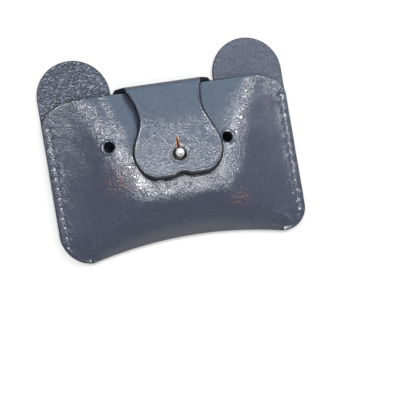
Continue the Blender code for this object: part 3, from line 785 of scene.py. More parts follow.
def stud_foot():
    return on_flap(KEYHOLE_ACROSS, KEYHOLE_DISTANCE, FLAP_MIDDLE_LIFT)


def eased(share):
    return (1 - np.cos(math.pi * share)) / 2


def past_seam(up):
    """How far a place is beyond either end of the row of stitches."""
    return np.maximum(np.maximum(SEAM_BOTTOM_UP - up, up - SEAM_TOP_UP), 0)


def near_surface(depth, reach=EDGE_ROUNDING):
    """One on the grain side, fading to nothing at a depth in the leather."""
    return np.clip(1 - np.asarray(depth) / reach, 0, 1)


# Panels of the hide

def arc(centre, radii, start, end, steps):
    """Points of an elliptical arc, both ends included."""
    angles = np.linspace(start, end, steps + 1)
    return [(centre[0] + radii[0] * math.cos(angle), centre[1] + radii[1] * math.sin(angle))
            for angle in angles]


def line(start, end, spacing):
    """Points from one place to another, both ends included."""
    steps = max(round(math.dist(start, end) / spacing), 1)
    return [tuple(np.array(start) + (np.array(end) - start) * step / steps)
            for step in range(steps + 1)]


def lattice(low, high, spacing):
    """A lattice of triangles that fills a box."""
    rise = spacing * math.sqrt(3) / 2
    points = []
    for row in range(int((high[1] - low[1]) / rise) + 1):
        start = low[0] + (spacing / 2 if row % 2 else 0)
        count = int((high[0] - start) / spacing) + 1
        points += [(start + spacing * column, low[1] + rise * row) for column in range(count)]
    return points


def loop_directions(points):
    """For each point of a closed loop, the direction to its right, stretched at corners."""
    points = np.array(points)
    before = points - np.roll(points, 1, 0)
    after = np.roll(points, -1, 0) - points
    sides = []
    for edge in (before, after):
        side = np.stack((edge[:, 1], -edge[:, 0]), -1)
        sides.append(side / np.maximum(np.linalg.norm(side, axis=1, keepdims=True), 1e-12))
    middle = sides[0] + sides[1]
    middle /= np.maximum(np.linalg.norm(middle, axis=1, keepdims=True), 1e-12)
    stretch = np.maximum((middle * sides[0]).sum(1, keepdims=True), 0.5)
    return middle / stretch


def within(loop, spots):
    """Which of some places lie inside a closed loop of points."""
    inside = np.zeros(len(spots), bool)
    for (x1, y1), (x2, y2) in zip(loop, np.roll(loop, -1, 0)):
        if y1 == y2:
            continue
        crossing = (y1 > spots[:, 1]) != (y2 > spots[:, 1])
        inside ^= crossing & (spots[:, 0] < (x2 - x1) * (spots[:, 1] - y1) / (y2 - y1) + x1)
    return inside


def flat_bend(across, up):
    return np.full_like(across, FLAT_BEND)


def make_panel(name, loops, fill, lift, materials, rounding=EDGE_ROUNDING, bend=flat_bend):
    """A stretch of hide from its outline on the flat sheet.

    loops are (points, free, finish): the outline runs counterclockwise and the holes clockwise,
    free says for each point whether it is on a cut edge, and finish is the material there.
    fill are the points inside, and lift gives places and outward directions on the grain side.
    """
    inner, rims = [], []
    for points, free, finish in loops:
        points = np.array(points)
        inset = rounding * np.array(free, float)[:, None]
        out = loop_directions(points)
        rims.append((points, out, inset, finish, len(inner)))
        inner += [tuple(point) for point in points - out * inset]
    tree = kdtree.KDTree(len(inner))
    for place, point in enumerate(inner):
        tree.insert((*point, 0), place)
    tree.balance()
    spaced = [point[:2] for point in fill if tree.find((*point[:2], 0))[2] > point[2]]
    flat = [Vector(point) / MILLIMETRE for point in inner + spaced]
    edges = []
    for points, _, _, _, first in rims:
        edges += [(first + step, first + (step + 1) % len(points)) for step in range(len(points))]
    found = delaunay_2d_cdt(flat, edges, [], 1, 1e-5)
    spots = np.array([tuple(point) for point in found[0]]) * MILLIMETRE
    triangles = np.array(found[2])
    in_hole = np.zeros(len(triangles), bool)
    for points, out, inset, _, _ in rims[1:]:
        in_hole |= within(points - out * inset, spots[triangles].mean(1))
    triangles = [[int(corner) for corner in corners] for corners in triangles[~in_hole]]
    where = {source: place for place, sources in enumerate(found[3]) for source in sources}
    body = bmesh.new()
    faces = {}
    for depth, finish in ((0, GRAIN), (LEATHER, FLESH)):
        places, outward = lift(spots[:, 0], spots[:, 1], depth)
        faces[depth] = [body.verts.new(point) for point in places - outward * depth]
        for corners in triangles:
            body.faces.new([faces[depth][corner] for corner in corners]).material_index = finish
    for points, out, inset, finish, first in rims:
        rings = [[faces[0][where[first + step]] for step in range(len(points))]]
        quarter = np.linspace(0, math.pi / 2, EDGE_STEPS + 1)
        steps = [(angle, 0) for angle in quarter[1:]] + [(angle, 1) for angle in quarter[:0:-1]]
        for angle, under in steps:
            flat_spots = points - out * inset * (1 - math.sin(angle))
            depth = inset[:, 0] * (1 - math.cos(angle))
            depth = LEATHER - depth if under else depth
            places, outward = lift(flat_spots[:, 0], flat_spots[:, 1], depth)
            rings.append([body.verts.new(point) for point in places - outward * depth[:, None]])
        rings.append([faces[LEATHER][where[first + step]] for step in range(len(points))])
        for above, below in zip(rings, rings[1:]):
            for step in range(len(points)):
                following = (step + 1) % len(points)
                corners = (above[step], above[following], below[following], below[step])
                body.faces.new(corners).material_index = finish[step]
    bmesh.ops.remove_doubles(body, verts=body.verts, dist=WELD)
    bmesh.ops.dissolve_degenerate(body, edges=body.edges, dist=SLIVER)
    item = finished(name, body, materials)
    places = np.array([point.co for point in item.data.vertices])
    item.data.attributes.new("bend", "FLOAT", "POINT").data.foreach_set(
        "value", bend(places[:, 0], places[:, 1] + OVERALL_LENGTH / 2).astype(np.float32))
    return item


def finished(name, body, materials, sharp=40.0):
    """The object of a mesh, facing outwards and smooth apart from its real edges."""
    bmesh.ops.recalc_face_normals(body, faces=body.faces)
    data = bpy.data.meshes.new(name)
    body.to_mesh(data)
    body.free()
    item = bpy.data.objects.new(name, data)
    for one in materials:
        data.materials.append(one)
    bpy.context.collection.objects.link(item)
    data.shade_smooth()
    data.set_sharp_from_angle(angle=math.radians(sharp))
    return item


def spaced_fill(points, spacing):
    """Points with the room that each needs from the outline."""
    return [(*point, spacing * FILL_CLEARANCE) for point in points]


def ring(centre, radius, steps, clockwise=False):
    points = arc(centre, (radius, radius), 0, 2 * math.pi, steps)[:-1]
    return points[::-1] if clockwise else points


def hole_loop(centre, radius, finish, steps=HOLE_STEPS):
    points = ring(centre, radius, steps, clockwise=True)
    return points, [1] * steps, [finish] * steps


def rings_round(centre, radii, steps=HOLE_STEPS):
    """Points on circles round a hole, so that its rim is drawn round."""
    return [(*point, 0) for radius in radii for point in ring(centre, radius, steps)]


def outside_rings(points, centre, radius):
    return [point for point in points if math.dist(point[:2], centre) > radius]


def bottom_corner(sign, notch):
    """Points round a bottom corner, from the side down to the notch beside the turn."""
    radius = LEFT_CORNER_RADIUS if sign < 0 else RIGHT_CORNER_RADIUS
    points = arc((HALF_WIDTH - radius, radius), (radius, -radius), 0, math.pi / 2,
                 CORNER_STEPS)
    points = [point for point in points if point[0] > notch + GAP]
    points.append((notch, float(corner_edge(sign * notch))))
    return [(sign * across, up) for across, up in points]


def turn_columns():
    """Places across the bottom turn where its pieces meet point to point."""
    return np.linspace(-NOTCH_HALF_WIDTH, NOTCH_HALF_WIDTH, TURN_COLUMNS)


def crease_start(across):
    """How far up the front panel ends and the rounding into the bottom turn starts."""
    return crease(across)[0] + CREASE_ROUNDING * fullness(across) * math.cos(BASE_SLOPE)


def seam_pucker(across, up):
    """How the tight stitches draw the leather down: a channel, deepest at each awl hole. The
    two holes at the top right are stretched."""
    aside = np.abs(np.abs(across) - SEAM_ACROSS)
    beyond = past_seam(up)
    channel = np.exp(-(aside / CHANNEL_WIDTH) ** 2) * np.exp(-(beyond / CHANNEL_FADE) ** 2)
    phase = (SEAM_TOP_UP - up) / STITCH_PITCH
    along = np.abs(phase - np.round(phase)) * STITCH_PITCH
    inside = (beyond < STITCH_PITCH / 3)
    torn = 1 + TORN_STRETCH * (across > 0) * np.clip((up - TORN_UP) / TORN_FADE, 0, 1)
    pit = torn * inside * np.exp(-(aside / PIT_WIDTH / torn) ** 2
                                 - (along / PIT_LENGTH / torn) ** 2)
    pillow = inside * np.cos(2 * math.pi * phase) * np.exp(
        -((aside - PILLOW_INSET) / PILLOW_WIDTH) ** 2)
    return -CHANNEL_DEPTH * channel - PIT_DEPTH * pit - PILLOW_HEIGHT * pillow


def fold_share(across, up, start, end, width):
    """One along a soft fold in the hide, fading to its sides and beyond its ends."""
    start, end = np.array(start), np.array(end)
    along = (end - start) / math.dist(start, end)
    reach = (across - start[0]) * along[0] + (up - start[1]) * along[1]
    aside = (across - start[0]) * along[1] - (up - start[1]) * along[0]
    beyond = np.maximum(np.maximum(-reach, reach - math.dist(start, end)), 0)
    return np.exp(-(aside / width) ** 2 - (beyond / (2 * width)) ** 2)


def eye_lip(across, up):
    """The rounded lip that the punch raises round each eye."""
    rise = 0
    for centre in (LEFT_EYE, RIGHT_EYE):
        out = np.hypot(across - centre[0], up - centre[1]) - EYE_RADIUS
        rise = rise + EYE_LIP_HEIGHT * np.exp(-((out - EYE_LIP_WIDTH / 2) / EYE_LIP_FADE) ** 2)
    return rise


def uneven(points, size, depth, seed):
    """Slow unevenness of a hide that has been handled, of a given size and depth."""
    offset = Vector((seed * 13.7, seed * 7.1, seed * 3.3))
    return np.array([fractal(Vector(point) / size + offset, 1.0, 2.0, 3) * depth
                     for point in points])


def front_lift(across, up, depth):
    height = front_height(across, up)
    drawn = (front_shape(across, up) - height) * near_surface(depth, LEATHER)
    outward = front_normal(across, up)
    places = placed(across, up, height + drawn)
    rise = (eye_lip(across, up) + seam_pucker(across, up)) * near_surface(depth)
    rise = rise + PLEAT_HEIGHT * fold_share(across, up, PLEAT_START, PLEAT_END, PLEAT_WIDTH)
    rise = rise + TUCK_HEIGHT * fold_share(across, up, TUCK_START, TUCK_END, TUCK_WIDTH)
    rise = rise + uneven(places, *FRONT_WAVES)
    return places + outward * rise[:, None], outward


def make_front_panel(materials):
    notch = NOTCH_HALF_WIDTH + GAP / 2
    side_top = float(mouth_edge(np.array(HALF_WIDTH)))
    corner = HALF_WIDTH - MOUTH_CORNER_REACH
    radii = (MOUTH_CORNER_REACH, MOUTH_CORNER_DROP)
    points, free = [], []

    def run(stretch, cut_edge):
        points.extend(stretch)
        free.extend([cut_edge] * len(stretch))

    run([(float(across), float(crease_start(across))) for across in turn_columns()], 0)
    run(bottom_corner(1, notch)[::-1], 1)
    run(line((HALF_WIDTH, RIGHT_CORNER_RADIUS), (HALF_WIDTH, side_top), OUTLINE_SPACING)[1:-1], 1)
    run(arc((corner, side_top), radii, 0, math.pi / 2, MOUTH_CORNER_STEPS), 1)
    run(line((corner, MOUTH_UP), (-corner, MOUTH_UP), OUTLINE_SPACING)[1:-1], 1)
    run(arc((-corner, side_top), radii, math.pi / 2, math.pi, MOUTH_CORNER_STEPS), 1)
    run(line((-HALF_WIDTH, side_top), (-HALF_WIDTH, LEFT_CORNER_RADIUS), OUTLINE_SPACING)[1:-1], 1)
    run(bottom_corner(-1, notch), 1)
    loops = [(points, free, [EDGE] * len(points))]
    loops += [hole_loop(centre, EYE_RADIUS - EYE_ROLL, EDGE) for centre in (LEFT_EYE, RIGHT_EYE)]
    loops.append(hole_loop(stud_spot(), STUD_HOLE_RADIUS, RAW_EDGE, HOLE_STEPS // 2))
    low, high = (-HALF_WIDTH, 0), (HALF_WIDTH, MOUTH_UP)
    broad = [point for point in lattice(low, high, FRONT_SPACING)
             if abs(abs(point[0]) - SEAM_ACROSS) > FRONT_SEAM_BAND]
    close = [point for point in lattice(low, high, FRONT_SEAM_SPACING)
             if abs(abs(point[0]) - SEAM_ACROSS) <= FRONT_SEAM_BAND]
    fill = spaced_fill(broad, FRONT_SPACING) + spaced_fill(close, FRONT_SEAM_SPACING)
    rings = [EYE_RADIUS + RING_SPACING * step + EDGE_ROUNDING
             for step in range(1, EYE_RINGS + 1)]
    for centre in (LEFT_EYE, RIGHT_EYE):
        fill = outside_rings(fill, centre, rings[-1] + RING_SPACING)
        fill += rings_round(centre, rings)
    return make_panel("front_panel_hide", loops, fill, front_lift, materials, bend=front_bend)


def front_bend(across, up):
    """How sharply the front panel bends at a place, from nothing on its flats to one."""
    middle = front_shape(across, up)
    curl = (front_shape(across + CURL_STEP, up) + front_shape(across - CURL_STEP, up)
            + front_shape(across, up + CURL_STEP) + front_shape(across, up - CURL_STEP)
            - 4 * middle)
    from_seam = np.abs(np.abs(across) - SEAM_ACROSS) / SEAM_BEND_WIDTH
    handled = np.clip((up - BASE_UP - BASE_LEAN * np.abs(across)) / BASE_FADE,
                      BASE_BEND_SHARE, 1)
    return np.clip(-curl / CURL_STEP ** 2 / FULL_CURL * handled
                   + SEAM_BEND * np.exp(-from_seam ** 2)
                   + PLEAT_BEND * fold_share(across, up, PLEAT_START, PLEAT_END, PLEAT_WIDTH), 0, 1)


def stud_spot():
    """The place across and up of the stud's middle on the front panel."""
    foot = stud_foot()
    return foot.x, foot.y + OVERALL_LENGTH / 2


def turn_lift(across, along, depth):
    """The rounding under the crease, the wall below it and the turn to the back.

    along runs from nothing at the front panel to three times the step at the back panel.
    """
    up, height = crease(across)
    facing = turn_tangent(across)
    full = fullness(across)
    trim = CREASE_ROUNDING * full
    down = np.stack((-np.sin(facing), np.cos(facing)), -1)
    corner = np.stack((up, height), -1)
    start_up = crease_start(across)
    start = np.stack((start_up, front_shape(across, start_up)), -1)
    end = corner + down * trim[:, None]
    share = np.clip(along / TURN_STEP, 0, 1)[:, None]
    round_part = (1 - share) ** 2 * start + 2 * share * (1 - share) * corner + share ** 2 * end
    middle = np.stack((turn_edge(across) + TURN_RADIUS, np.full_like(up, TURN_RADIUS)), -1)
    radial = np.stack((np.cos(facing), np.sin(facing)), -1)
    touch = middle + radial * TURN_RADIUS
    share = np.clip(along / TURN_STEP - 1, 0, 1)[:, None]
    wall_part = end + (touch - end) * share
    share = np.clip(along / TURN_STEP - 2, 0, 1)
    angle = facing + (3 * math.pi / 2 - facing) * share
    bend_part = middle + np.stack((np.cos(angle), np.sin(angle)), -1) * TURN_RADIUS
    place = np.where((along < TURN_STEP)[:, None], round_part,
                     np.where((along < 2 * TURN_STEP)[:, None], wall_part, bend_part))
    panel = front_normal(across, start_up)
    first = np.arctan2(panel[:, 2], panel[:, 1])
    blended = first + (facing - first) * np.clip(along / TURN_STEP, 0, 1)
    turned = np.where(along < TURN_STEP, blended, angle)
    outward = np.stack((np.zeros_like(turned), np.cos(turned), np.sin(turned)), -1)
    return placed(across, place[:, 0], place[:, 1]), outward


def make_bottom_turn(materials):
    columns = [float(across) for across in turn_columns()]
    end = 3 * TURN_STEP
    points = [(across, 0.0) for across in columns]
    free = [0] * len(points)
    side = line((NOTCH_HALF_WIDTH, 0.0), (NOTCH_HALF_WIDTH, end), SHORT_EDGE_SPACING)[1:-1]
    points += side
    free += [1] * len(side)
    points += [(across, end) for across in reversed(columns)]
    free += [0] * len(columns)
    points += [(-across, along) for across, along in reversed(side)]
    free += [1] * len(side)
    fill = lattice((-NOTCH_HALF_WIDTH, 0), (NOTCH_HALF_WIDTH, end), TURN_SPACING)
    fill = spaced_fill(fill, TURN_SPACING)
    loops = [(points, free, [EDGE] * len(points))]
    return make_panel("bottom_turn_hide", loops, fill, turn_lift, materials)


def seam_groove(across, up):
    """The depth of the groove that keeps the stitches on the back clear of the table."""
    aside = np.abs(np.abs(across) - SEAM_ACROSS)
    return GROOVE_DEPTH * np.exp(-(aside / GROOVE_HALF_WIDTH) ** 4
                                 - (past_seam(up) / GROOVE_HALF_WIDTH) ** 2)


def back_lift(across, up, depth):
    places = placed(across, up, np.zeros_like(across))
    outward = np.zeros_like(places)
    outward[:, 2] = -1
    inner = np.clip(np.asarray(depth) / LEATHER, 0, 1)
    from_edge = np.clip((up - MOUTH_UP) / EAR_WAVES_FADE, 0, 1)
    rise = uneven(places, *EAR_WAVES) * from_edge * inner
    sunk = near_surface(depth) * seam_groove(across, up)
    return places - outward * (rise + sunk)[:, None], outward


def make_back_panel(materials):
    notch = NOTCH_HALF_WIDTH + GAP / 2
    inner = EAR_INNER_ACROSS
    points, free = [], []

    def run(stretch, cut_edge):
        points.extend(stretch)
        free.extend([cut_edge] * len(stretch))

    run([(float(across), float(turn_edge(across) + TURN_RADIUS)) for across in turn_columns()], 0)
    run(bottom_corner(1, notch)[::-1], 1)
    run(line((HALF_WIDTH, RIGHT_CORNER_RADIUS), (HALF_WIDTH, EAR_CENTRE_UP),
             OUTLINE_SPACING)[1:-1], 1)
    run(arc((EAR_ACROSS, EAR_CENTRE_UP), (EAR_RADIUS, EAR_RADIUS), 0, math.pi, EAR_STEPS), 1)
    run(line((inner, EAR_CENTRE_UP), (inner, STRAP_ROOT_UP), SHORT_EDGE_SPACING)[1:-1], 1)
    run(line((inner, STRAP_ROOT_UP), (-inner, STRAP_ROOT_UP), OUTLINE_SPACING), 0)
    run(line((-inner, STRAP_ROOT_UP), (-inner, EAR_CENTRE_UP), SHORT_EDGE_SPACING)[1:-1], 1)
    run(arc((-EAR_ACROSS, EAR_CENTRE_UP), (EAR_RADIUS, EAR_RADIUS), 0, math.pi, EAR_STEPS), 1)
    run(line((-HALF_WIDTH, EAR_CENTRE_UP), (-HALF_WIDTH, LEFT_CORNER_RADIUS),
             OUTLINE_SPACING)[1:-1], 1)
    run(bottom_corner(-1, notch), 1)
    low, high = (-HALF_WIDTH, 0), (HALF_WIDTH, OVERALL_LENGTH)
    broad = [point for point in lattice(low, high, BACK_SPACING)
             if point[1] < EAR_FOOT_UP and abs(abs(point[0]) - SEAM_ACROSS) > BACK_SEAM_BAND]
    close = [point for point in lattice(low, high, EAR_SPACING)
             if point[1] >= EAR_FOOT_UP or abs(abs(point[0]) - SEAM_ACROSS) <= BACK_SEAM_BAND]
    fill = spaced_fill(broad, BACK_SPACING) + spaced_fill(close, EAR_SPACING)
    loops = [(points, free, [EDGE] * len(points))]
    return make_panel("back_panel_hide", loops, fill, back_lift, materials)


def strap_lengths():
    """The lengths of the strap's lower bend, its wall and its upper bend."""
    foot = STRAP_FOOT_RADIUS * (math.pi / 2 + STRAP_LEAN)
    low = strap_foot_centre() + strap_outward() * STRAP_FOOT_RADIUS
    high = strap_crown_centre() + strap_outward() * STRAP_CROWN_RADIUS
    crown = STRAP_CROWN_RADIUS * (math.pi / 2 - FACE_SLOPE - STRAP_LEAN)
    return foot, (high - low).length, crown


def strap_lift(across, along, depth):
    foot, wall, _ = strap_lengths()
    low, high = strap_foot_centre(), strap_crown_centre()
    outward = strap_outward()
    facing = np.where(along < foot, along / STRAP_FOOT_RADIUS - math.pi / 2, STRAP_LEAN)
    facing = np.where(along > foot + wall,
                      STRAP_LEAN + (along - foot - wall) / STRAP_CROWN_RADIUS, facing)
    share = np.clip((along - foot) / wall, 0, 1)
    radius = np.where(along <= foot, STRAP_FOOT_RADIUS, STRAP_CROWN_RADIUS)
    start = low + outward * STRAP_FOOT_RADIUS
    end = high + outward * STRAP_CROWN_RADIUS
    up = np.where(along <= foot, low.x, high.x) + radius * np.cos(facing)
    height = np.where(along <= foot, low.y, high.y) + radius * np.sin(facing)
    on_wall = (along > foot) & (along < foot + wall)
    up = np.where(on_wall, start.x + (end.x - start.x) * share, up)
    height = np.where(on_wall, start.y + (end.y - start.y) * share, height)
    up = up + np.cos(facing) * LEATHER / 2
    height = height + np.sin(facing) * LEATHER / 2
    normal = np.stack((np.zeros_like(facing), np.cos(facing), np.sin(facing)), -1)
    return placed(across, up, height), normal


def strap_side(along, total, neck):
    spread = (1 - along / total) ** STRAP_SPREAD_POWER
    return neck + (EAR_INNER_ACROSS - GAP / 2 - neck) * spread


def make_strap(materials):
    total = sum(strap_lengths())
    rows = [total * step / STRAP_STEPS for step in range(STRAP_STEPS + 1)]
    right = [(strap_side(row, total, NECK_HALF_WIDTH + RIGHT_NECK_FLARE), row) for row in rows]
    left = [(-strap_side(row, total, NECK_HALF_WIDTH + LEFT_NECK_FLARE), row) for row in rows]
    root = line(left[0], right[0], OUTLINE_SPACING)
    top = line(right[-1], left[-1], OUTLINE_SPACING)
    points = root[:-1] + right + top[1:-1] + left[:0:-1]
    free = [0] * (len(root) - 1) + [1] * len(right) + [0] * (len(top) - 2) + [1] * (len(left) - 1)
    free[0] = 1
    fill = lattice((-EAR_INNER_ACROSS, 0), (EAR_INNER_ACROSS, total), FLAP_SPACING)
    fill = spaced_fill(fill, FLAP_SPACING)
    loops = [(points, free, [EDGE] * len(points))]
    return make_panel("fold_strap_hide", loops, fill, strap_lift, materials)


def flap_half_width(distance, neck_distance, flare):
    """Half the flap's width at a distance from the fold, down to the cheeks."""
    if distance < neck_distance:
        return NECK_HALF_WIDTH + flare * (1 - distance / neck_distance) ** 2
    share = eased((distance - neck_distance) / (CHEEK_DISTANCE - neck_distance))
    return NECK_HALF_WIDTH + (CHEEK_HALF_WIDTH - NECK_HALF_WIDTH) * share


def flap_side(neck_distance, flare):
    """One edge of the flap from the fold round the cheek to the middle of the chin."""
    side = []
    for step in range(FLAP_SIDE_STEPS):
        distance = CHEEK_DISTANCE * step / FLAP_SIDE_STEPS
        side.append((float(flap_half_width(distance, neck_distance, flare)), distance))
    radii = (CHEEK_HALF_WIDTH - CHIN_HALF_WIDTH, CHEEK_FROM_CHIN)
    side += arc((CHIN_HALF_WIDTH, CHEEK_DISTANCE), radii, 0, math.pi / 2, CHEEK_STEPS)
    side += line((CHIN_HALF_WIDTH, FLAP_LENGTH), (CHIN_NOTCH_HALF_WIDTH, FLAP_LENGTH),
                 SHORT_EDGE_SPACING)[1:-1]
    for step in range(CHIN_NOTCH_STEPS + 1):
        share = step / CHIN_NOTCH_STEPS
        side.append((CHIN_NOTCH_HALF_WIDTH * (1 - share),
                     float(FLAP_LENGTH - CHIN_NOTCH_DEPTH * eased(share))))
    return side


def slit_half_width(distance):
    """Half the slit's width, which narrows from the keyhole to its tip."""
    tip = KEYHOLE_DISTANCE - KEYHOLE_RADIUS - SLIT_LENGTH
    share = (distance - tip) / (KEYHOLE_DISTANCE - tip)
    return GAP / 2 + (SLIT_HALF_WIDTH - GAP / 2) * share


def keyhole_loop():
    """The hole and its slit, run clockwise on the flat sheet, with the slit's tip rounded."""
    centre = (KEYHOLE_ACROSS, KEYHOLE_DISTANCE)
    tip = KEYHOLE_DISTANCE - KEYHOLE_RADIUS - SLIT_LENGTH
    # The slit's width where it meets the hole depends on where they meet, so that is found
    # in rounds
    meeting = 0.0
    for _ in range(20):
        distance = KEYHOLE_DISTANCE - KEYHOLE_RADIUS * math.cos(meeting)
        meeting = math.asin(slit_half_width(distance) / KEYHOLE_RADIUS)
    start = -math.pi / 2 - meeting
    points = arc(centre, (KEYHOLE_RADIUS,) * 2, start, start - 2 * (math.pi - meeting),
                 KEYHOLE_STEPS)
    left, right = points[0], points[-1]
    half = slit_half_width(tip)
    points += line(right, (KEYHOLE_ACROSS + half, tip), KEYHOLE_SPACING)[1:]
    points += arc((KEYHOLE_ACROSS, tip), (half, -half), 0, math.pi, 4)[1:]
    points += line((KEYHOLE_ACROSS - half, tip), left, KEYHOLE_SPACING)[1:-1]
    return points


def flap_outline():
    right = flap_side(RIGHT_NECK_DISTANCE, RIGHT_NECK_FLARE)
    left = flap_side(LEFT_NECK_DISTANCE, LEFT_NECK_FLARE)
    fold = line((-left[0][0], 0.0), (right[0][0], 0.0), OUTLINE_SPACING)
    points = fold[:-1] + right + [(-across, distance) for across, distance in left[-2:0:-1]]
    free = [1] + [0] * (len(fold) - 2) + [1] * (len(right) + len(left) - 2)
    return points, free


def cut_edge_finder(points, free):
    """A tree that finds how far a place on the flat sheet is from a cut edge."""
    edge = [point for point, cut in zip(points, free) if cut]
    tree = kdtree.KDTree(len(edge))
    for place, point in enumerate(edge):
        tree.insert((*point, 0), place)
    tree.balance()
    return tree


def flap_bend(across, up):
    """Crumples of the flap: in the half with the stud, which is bent open, and few above."""
    stud = stud_spot()
    from_stud = np.hypot(across - stud[0], up - stud[1])
    handled = eased(np.clip((FLAP_BEND_TOP_UP - up) / FLAP_BEND_FADE, 0, 1))
    return FLAP_TOP_BEND + handled * (
        FLAP_LOW_BEND + STUD_BEND * np.exp(-(from_stud / STUD_BEND_REACH) ** 2))


def flap_lift(rim, across, distance, depth):
    """Points of the flap, with a soft line pressed in beside its rim and a dish round the
    keyhole. rim finds how far a place is from the cut edge."""
    frame = flap_frame()
    turned = np.array(frame.to_3x3())
    slide = CHIN_SLANT * (1 - near_surface(depth, LEATHER)) * np.clip(
        (distance - CHEEK_DISTANCE) / (FLAP_LENGTH - CHEEK_DISTANCE), 0, 1)
    flat = np.stack((across, distance + slide, np.full_like(across, -LEATHER / 2)), -1)
    places = flat @ turned.T + np.array(frame.translation)
    normal = np.tile(-turned[:, 2], (len(across), 1))
    out = np.hypot(across - KEYHOLE_ACROSS, distance - KEYHOLE_DISTANCE)
    dish = -DISH_DEPTH * np.clip((DISH_RADIUS - out) / DISH_WALL, 0, 1)
    settled = np.clip(distance / FLAP_WAVES_FADE, 0, 1)
    inward = np.array([rim.find((*spot, 0))[2] for spot in zip(across, distance)])
    lip = RIM_HEIGHT * np.exp(-((inward - RIM_INSET) / RIM_WIDTH) ** 2) * settled
    rise = (dish + lip) * near_surface(depth) + uneven(places, *FLAP_WAVES) * settled
    return places + normal * rise[:, None], normal


def flap_fill(points, free, rim):
    """Points inside the flap, in rows along its rim line and in rings round its dish."""
    fill = spaced_fill(lattice((-CHEEK_HALF_WIDTH, 0), (CHEEK_HALF_WIDTH, FLAP_LENGTH),
                               FLAP_SPACING), FLAP_SPACING)
    fill = [point for point in fill if rim.find((*point[:2], 0))[2] > RIM_BAND]
    outward = loop_directions(points)
    for inset in RIM_ROWS:
        fill += [(*(np.array(point) - way * inset), 0) for point, way, cut
                 in zip(points, outward, free) if cut and point[1] > RIM_START]
    centre = (KEYHOLE_ACROSS, KEYHOLE_DISTANCE)
    rings = [DISH_RADIUS - DISH_WALL + DISH_WALL / DISH_WALL_RINGS * step
             for step in range(-1, DISH_WALL_RINGS + 2)]
    fill = [point for point in fill if not
            rings[0] - RING_SPACING < math.dist(point[:2], centre) < rings[-1] + RING_SPACING]
    return fill + rings_round(centre, rings, DISH_STEPS)


def make_flap(materials):
    points, free = flap_outline()
    rim = cut_edge_finder(points, free)
    keyhole = keyhole_loop()
    in_slit = [math.dist(point, (KEYHOLE_ACROSS, KEYHOLE_DISTANCE)) > KEYHOLE_RADIUS + WELD
               for point in keyhole]
    loops = [(points, free, [EDGE] * len(points)),
             (keyhole, [SLIT_ROUNDING_SHARE if slit else KEYHOLE_ROUNDING_SHARE
                        for slit in in_slit],
              [RAW_EDGE if slit else EDGE for slit in in_slit])]
    return make_panel("flap_hide", loops, flap_fill(points, free, rim), partial(flap_lift, rim),
                      materials, FLAP_ROUNDING, flap_bend)


# Seams

def stitch_tree(material):
    """Geometry nodes that put one twisted stitch on each point, turned as its points say."""
    tree = bpy.data.node_groups.new("saddle_stitches", "GeometryNodeTree")
    sockets = {}
    for name, kind in (("Geometry", "Geometry"), ("Stitch Length", "Float"),
                       ("Thread Radius", "Float"), ("Rise", "Float"), ("Dive", "Float"),
                       ("Twist", "Float"), ("Thread", "Material")):
        sockets[name] = tree.interface.new_socket(name, in_out="INPUT",
                                                  socket_type="NodeSocket" + kind)
    tree.interface.new_socket("Geometry", in_out="OUTPUT", socket_type="NodeSocketGeometry")
    given = tree.nodes.new("NodeGroupInput").outputs
    half = add_node(tree, "ShaderNodeMath", (given["Stitch Length"], 0.5), operation="MULTIPLY")
    # The middle of a Bezier curve takes a quarter of its height from the ends and the rest from
    # the handles, so the handles lie higher than the rise
    reach = add_node(tree, "ShaderNodeMath", (half, 0.9), operation="MULTIPLY")
    down = add_node(tree, "ShaderNodeMath", (given["Dive"], -1.0), operation="MULTIPLY")
    top = add_node(tree, "ShaderNodeMath", (given["Dive"], 1.0 / 3.0), operation="MULTIPLY")
    top = add_node(tree, "ShaderNodeMath", (given["Rise"], 4.0 / 3.0, top),
                   operation="MULTIPLY_ADD")
    ends = []
    for across, side, height in ((half, -1.0, down), (reach, -1.0, top), (reach, 1.0, top),
                                 (half, 1.0, down)):
        along = add_node(tree, "ShaderNodeMath", (across, side), operation="MULTIPLY")
        ends.append(add_node(tree, "ShaderNodeCombineXYZ", {"Y": along, "Z": height}))
    path = add_node(tree, "GeometryNodeCurvePrimitiveBezierSegment", {
        "Resolution": 10, "Start": ends[0], "Start Handle": ends[1], "End Handle": ends[2],
        "End": ends[3]}, mode="POSITION")
    share = add_node(tree, "GeometryNodeSplineParameter", out="Factor")
    turned = add_node(tree, "ShaderNodeMath", (share, given["Twist"]), operation="MULTIPLY")
    turned = add_node(tree, "ShaderNodeMath", (turned, math.pi), operation="MULTIPLY")
    path = add_node(tree, "GeometryNodeSetCurveTilt", {"Curve": path, "Tilt": turned})
    inner = add_node(tree, "ShaderNodeMath", (given["Thread Radius"], 0.72),
                     operation="MULTIPLY")
    plies = add_node(tree, "GeometryNodeCurveStar", {
        "Points": 3, "Inner Radius": inner, "Outer Radius": given["Thread Radius"]})
    strand = add_node(tree, "GeometryNodeCurveToMesh", {
        "Curve": path, "Profile Curve": plies, "Fill Caps": True})
    # No two stitches are pulled quite alike
    slack = add_node(tree, "FunctionNodeRandomValue", {
        "Min": 0.94, "Max": 1.05, "Seed": 7}, 1, data_type="FLOAT")
    facing = add_node(tree, "GeometryNodeInputNamedAttribute", {"Name": "facing"}, "Attribute",
                      data_type="FLOAT_VECTOR")
    stitches = add_node(tree, "GeometryNodeInstanceOnPoints", {
        "Points": given["Geometry"], "Instance": strand, "Rotation": facing, "Scale": slack})
    stitches = add_node(tree, "GeometryNodeRealizeInstances", {"Geometry": stitches})
    stitches = add_node(tree, "GeometryNodeSetMaterial", {
        "Geometry": stitches, "Material": given["Thread"]})
    set_inputs(tree.nodes.new("NodeGroupOutput"), {"Geometry": stitches})
    values = {"Stitch Length": STITCH_LENGTH, "Thread Radius": THREAD_RADIUS,
              "Rise": STITCH_RISE, "Dive": STITCH_DIVE, "Twist": STITCH_TWIST,
              "Thread": material}
    return tree, {sockets[name].identifier: value for name, value in values.items()}


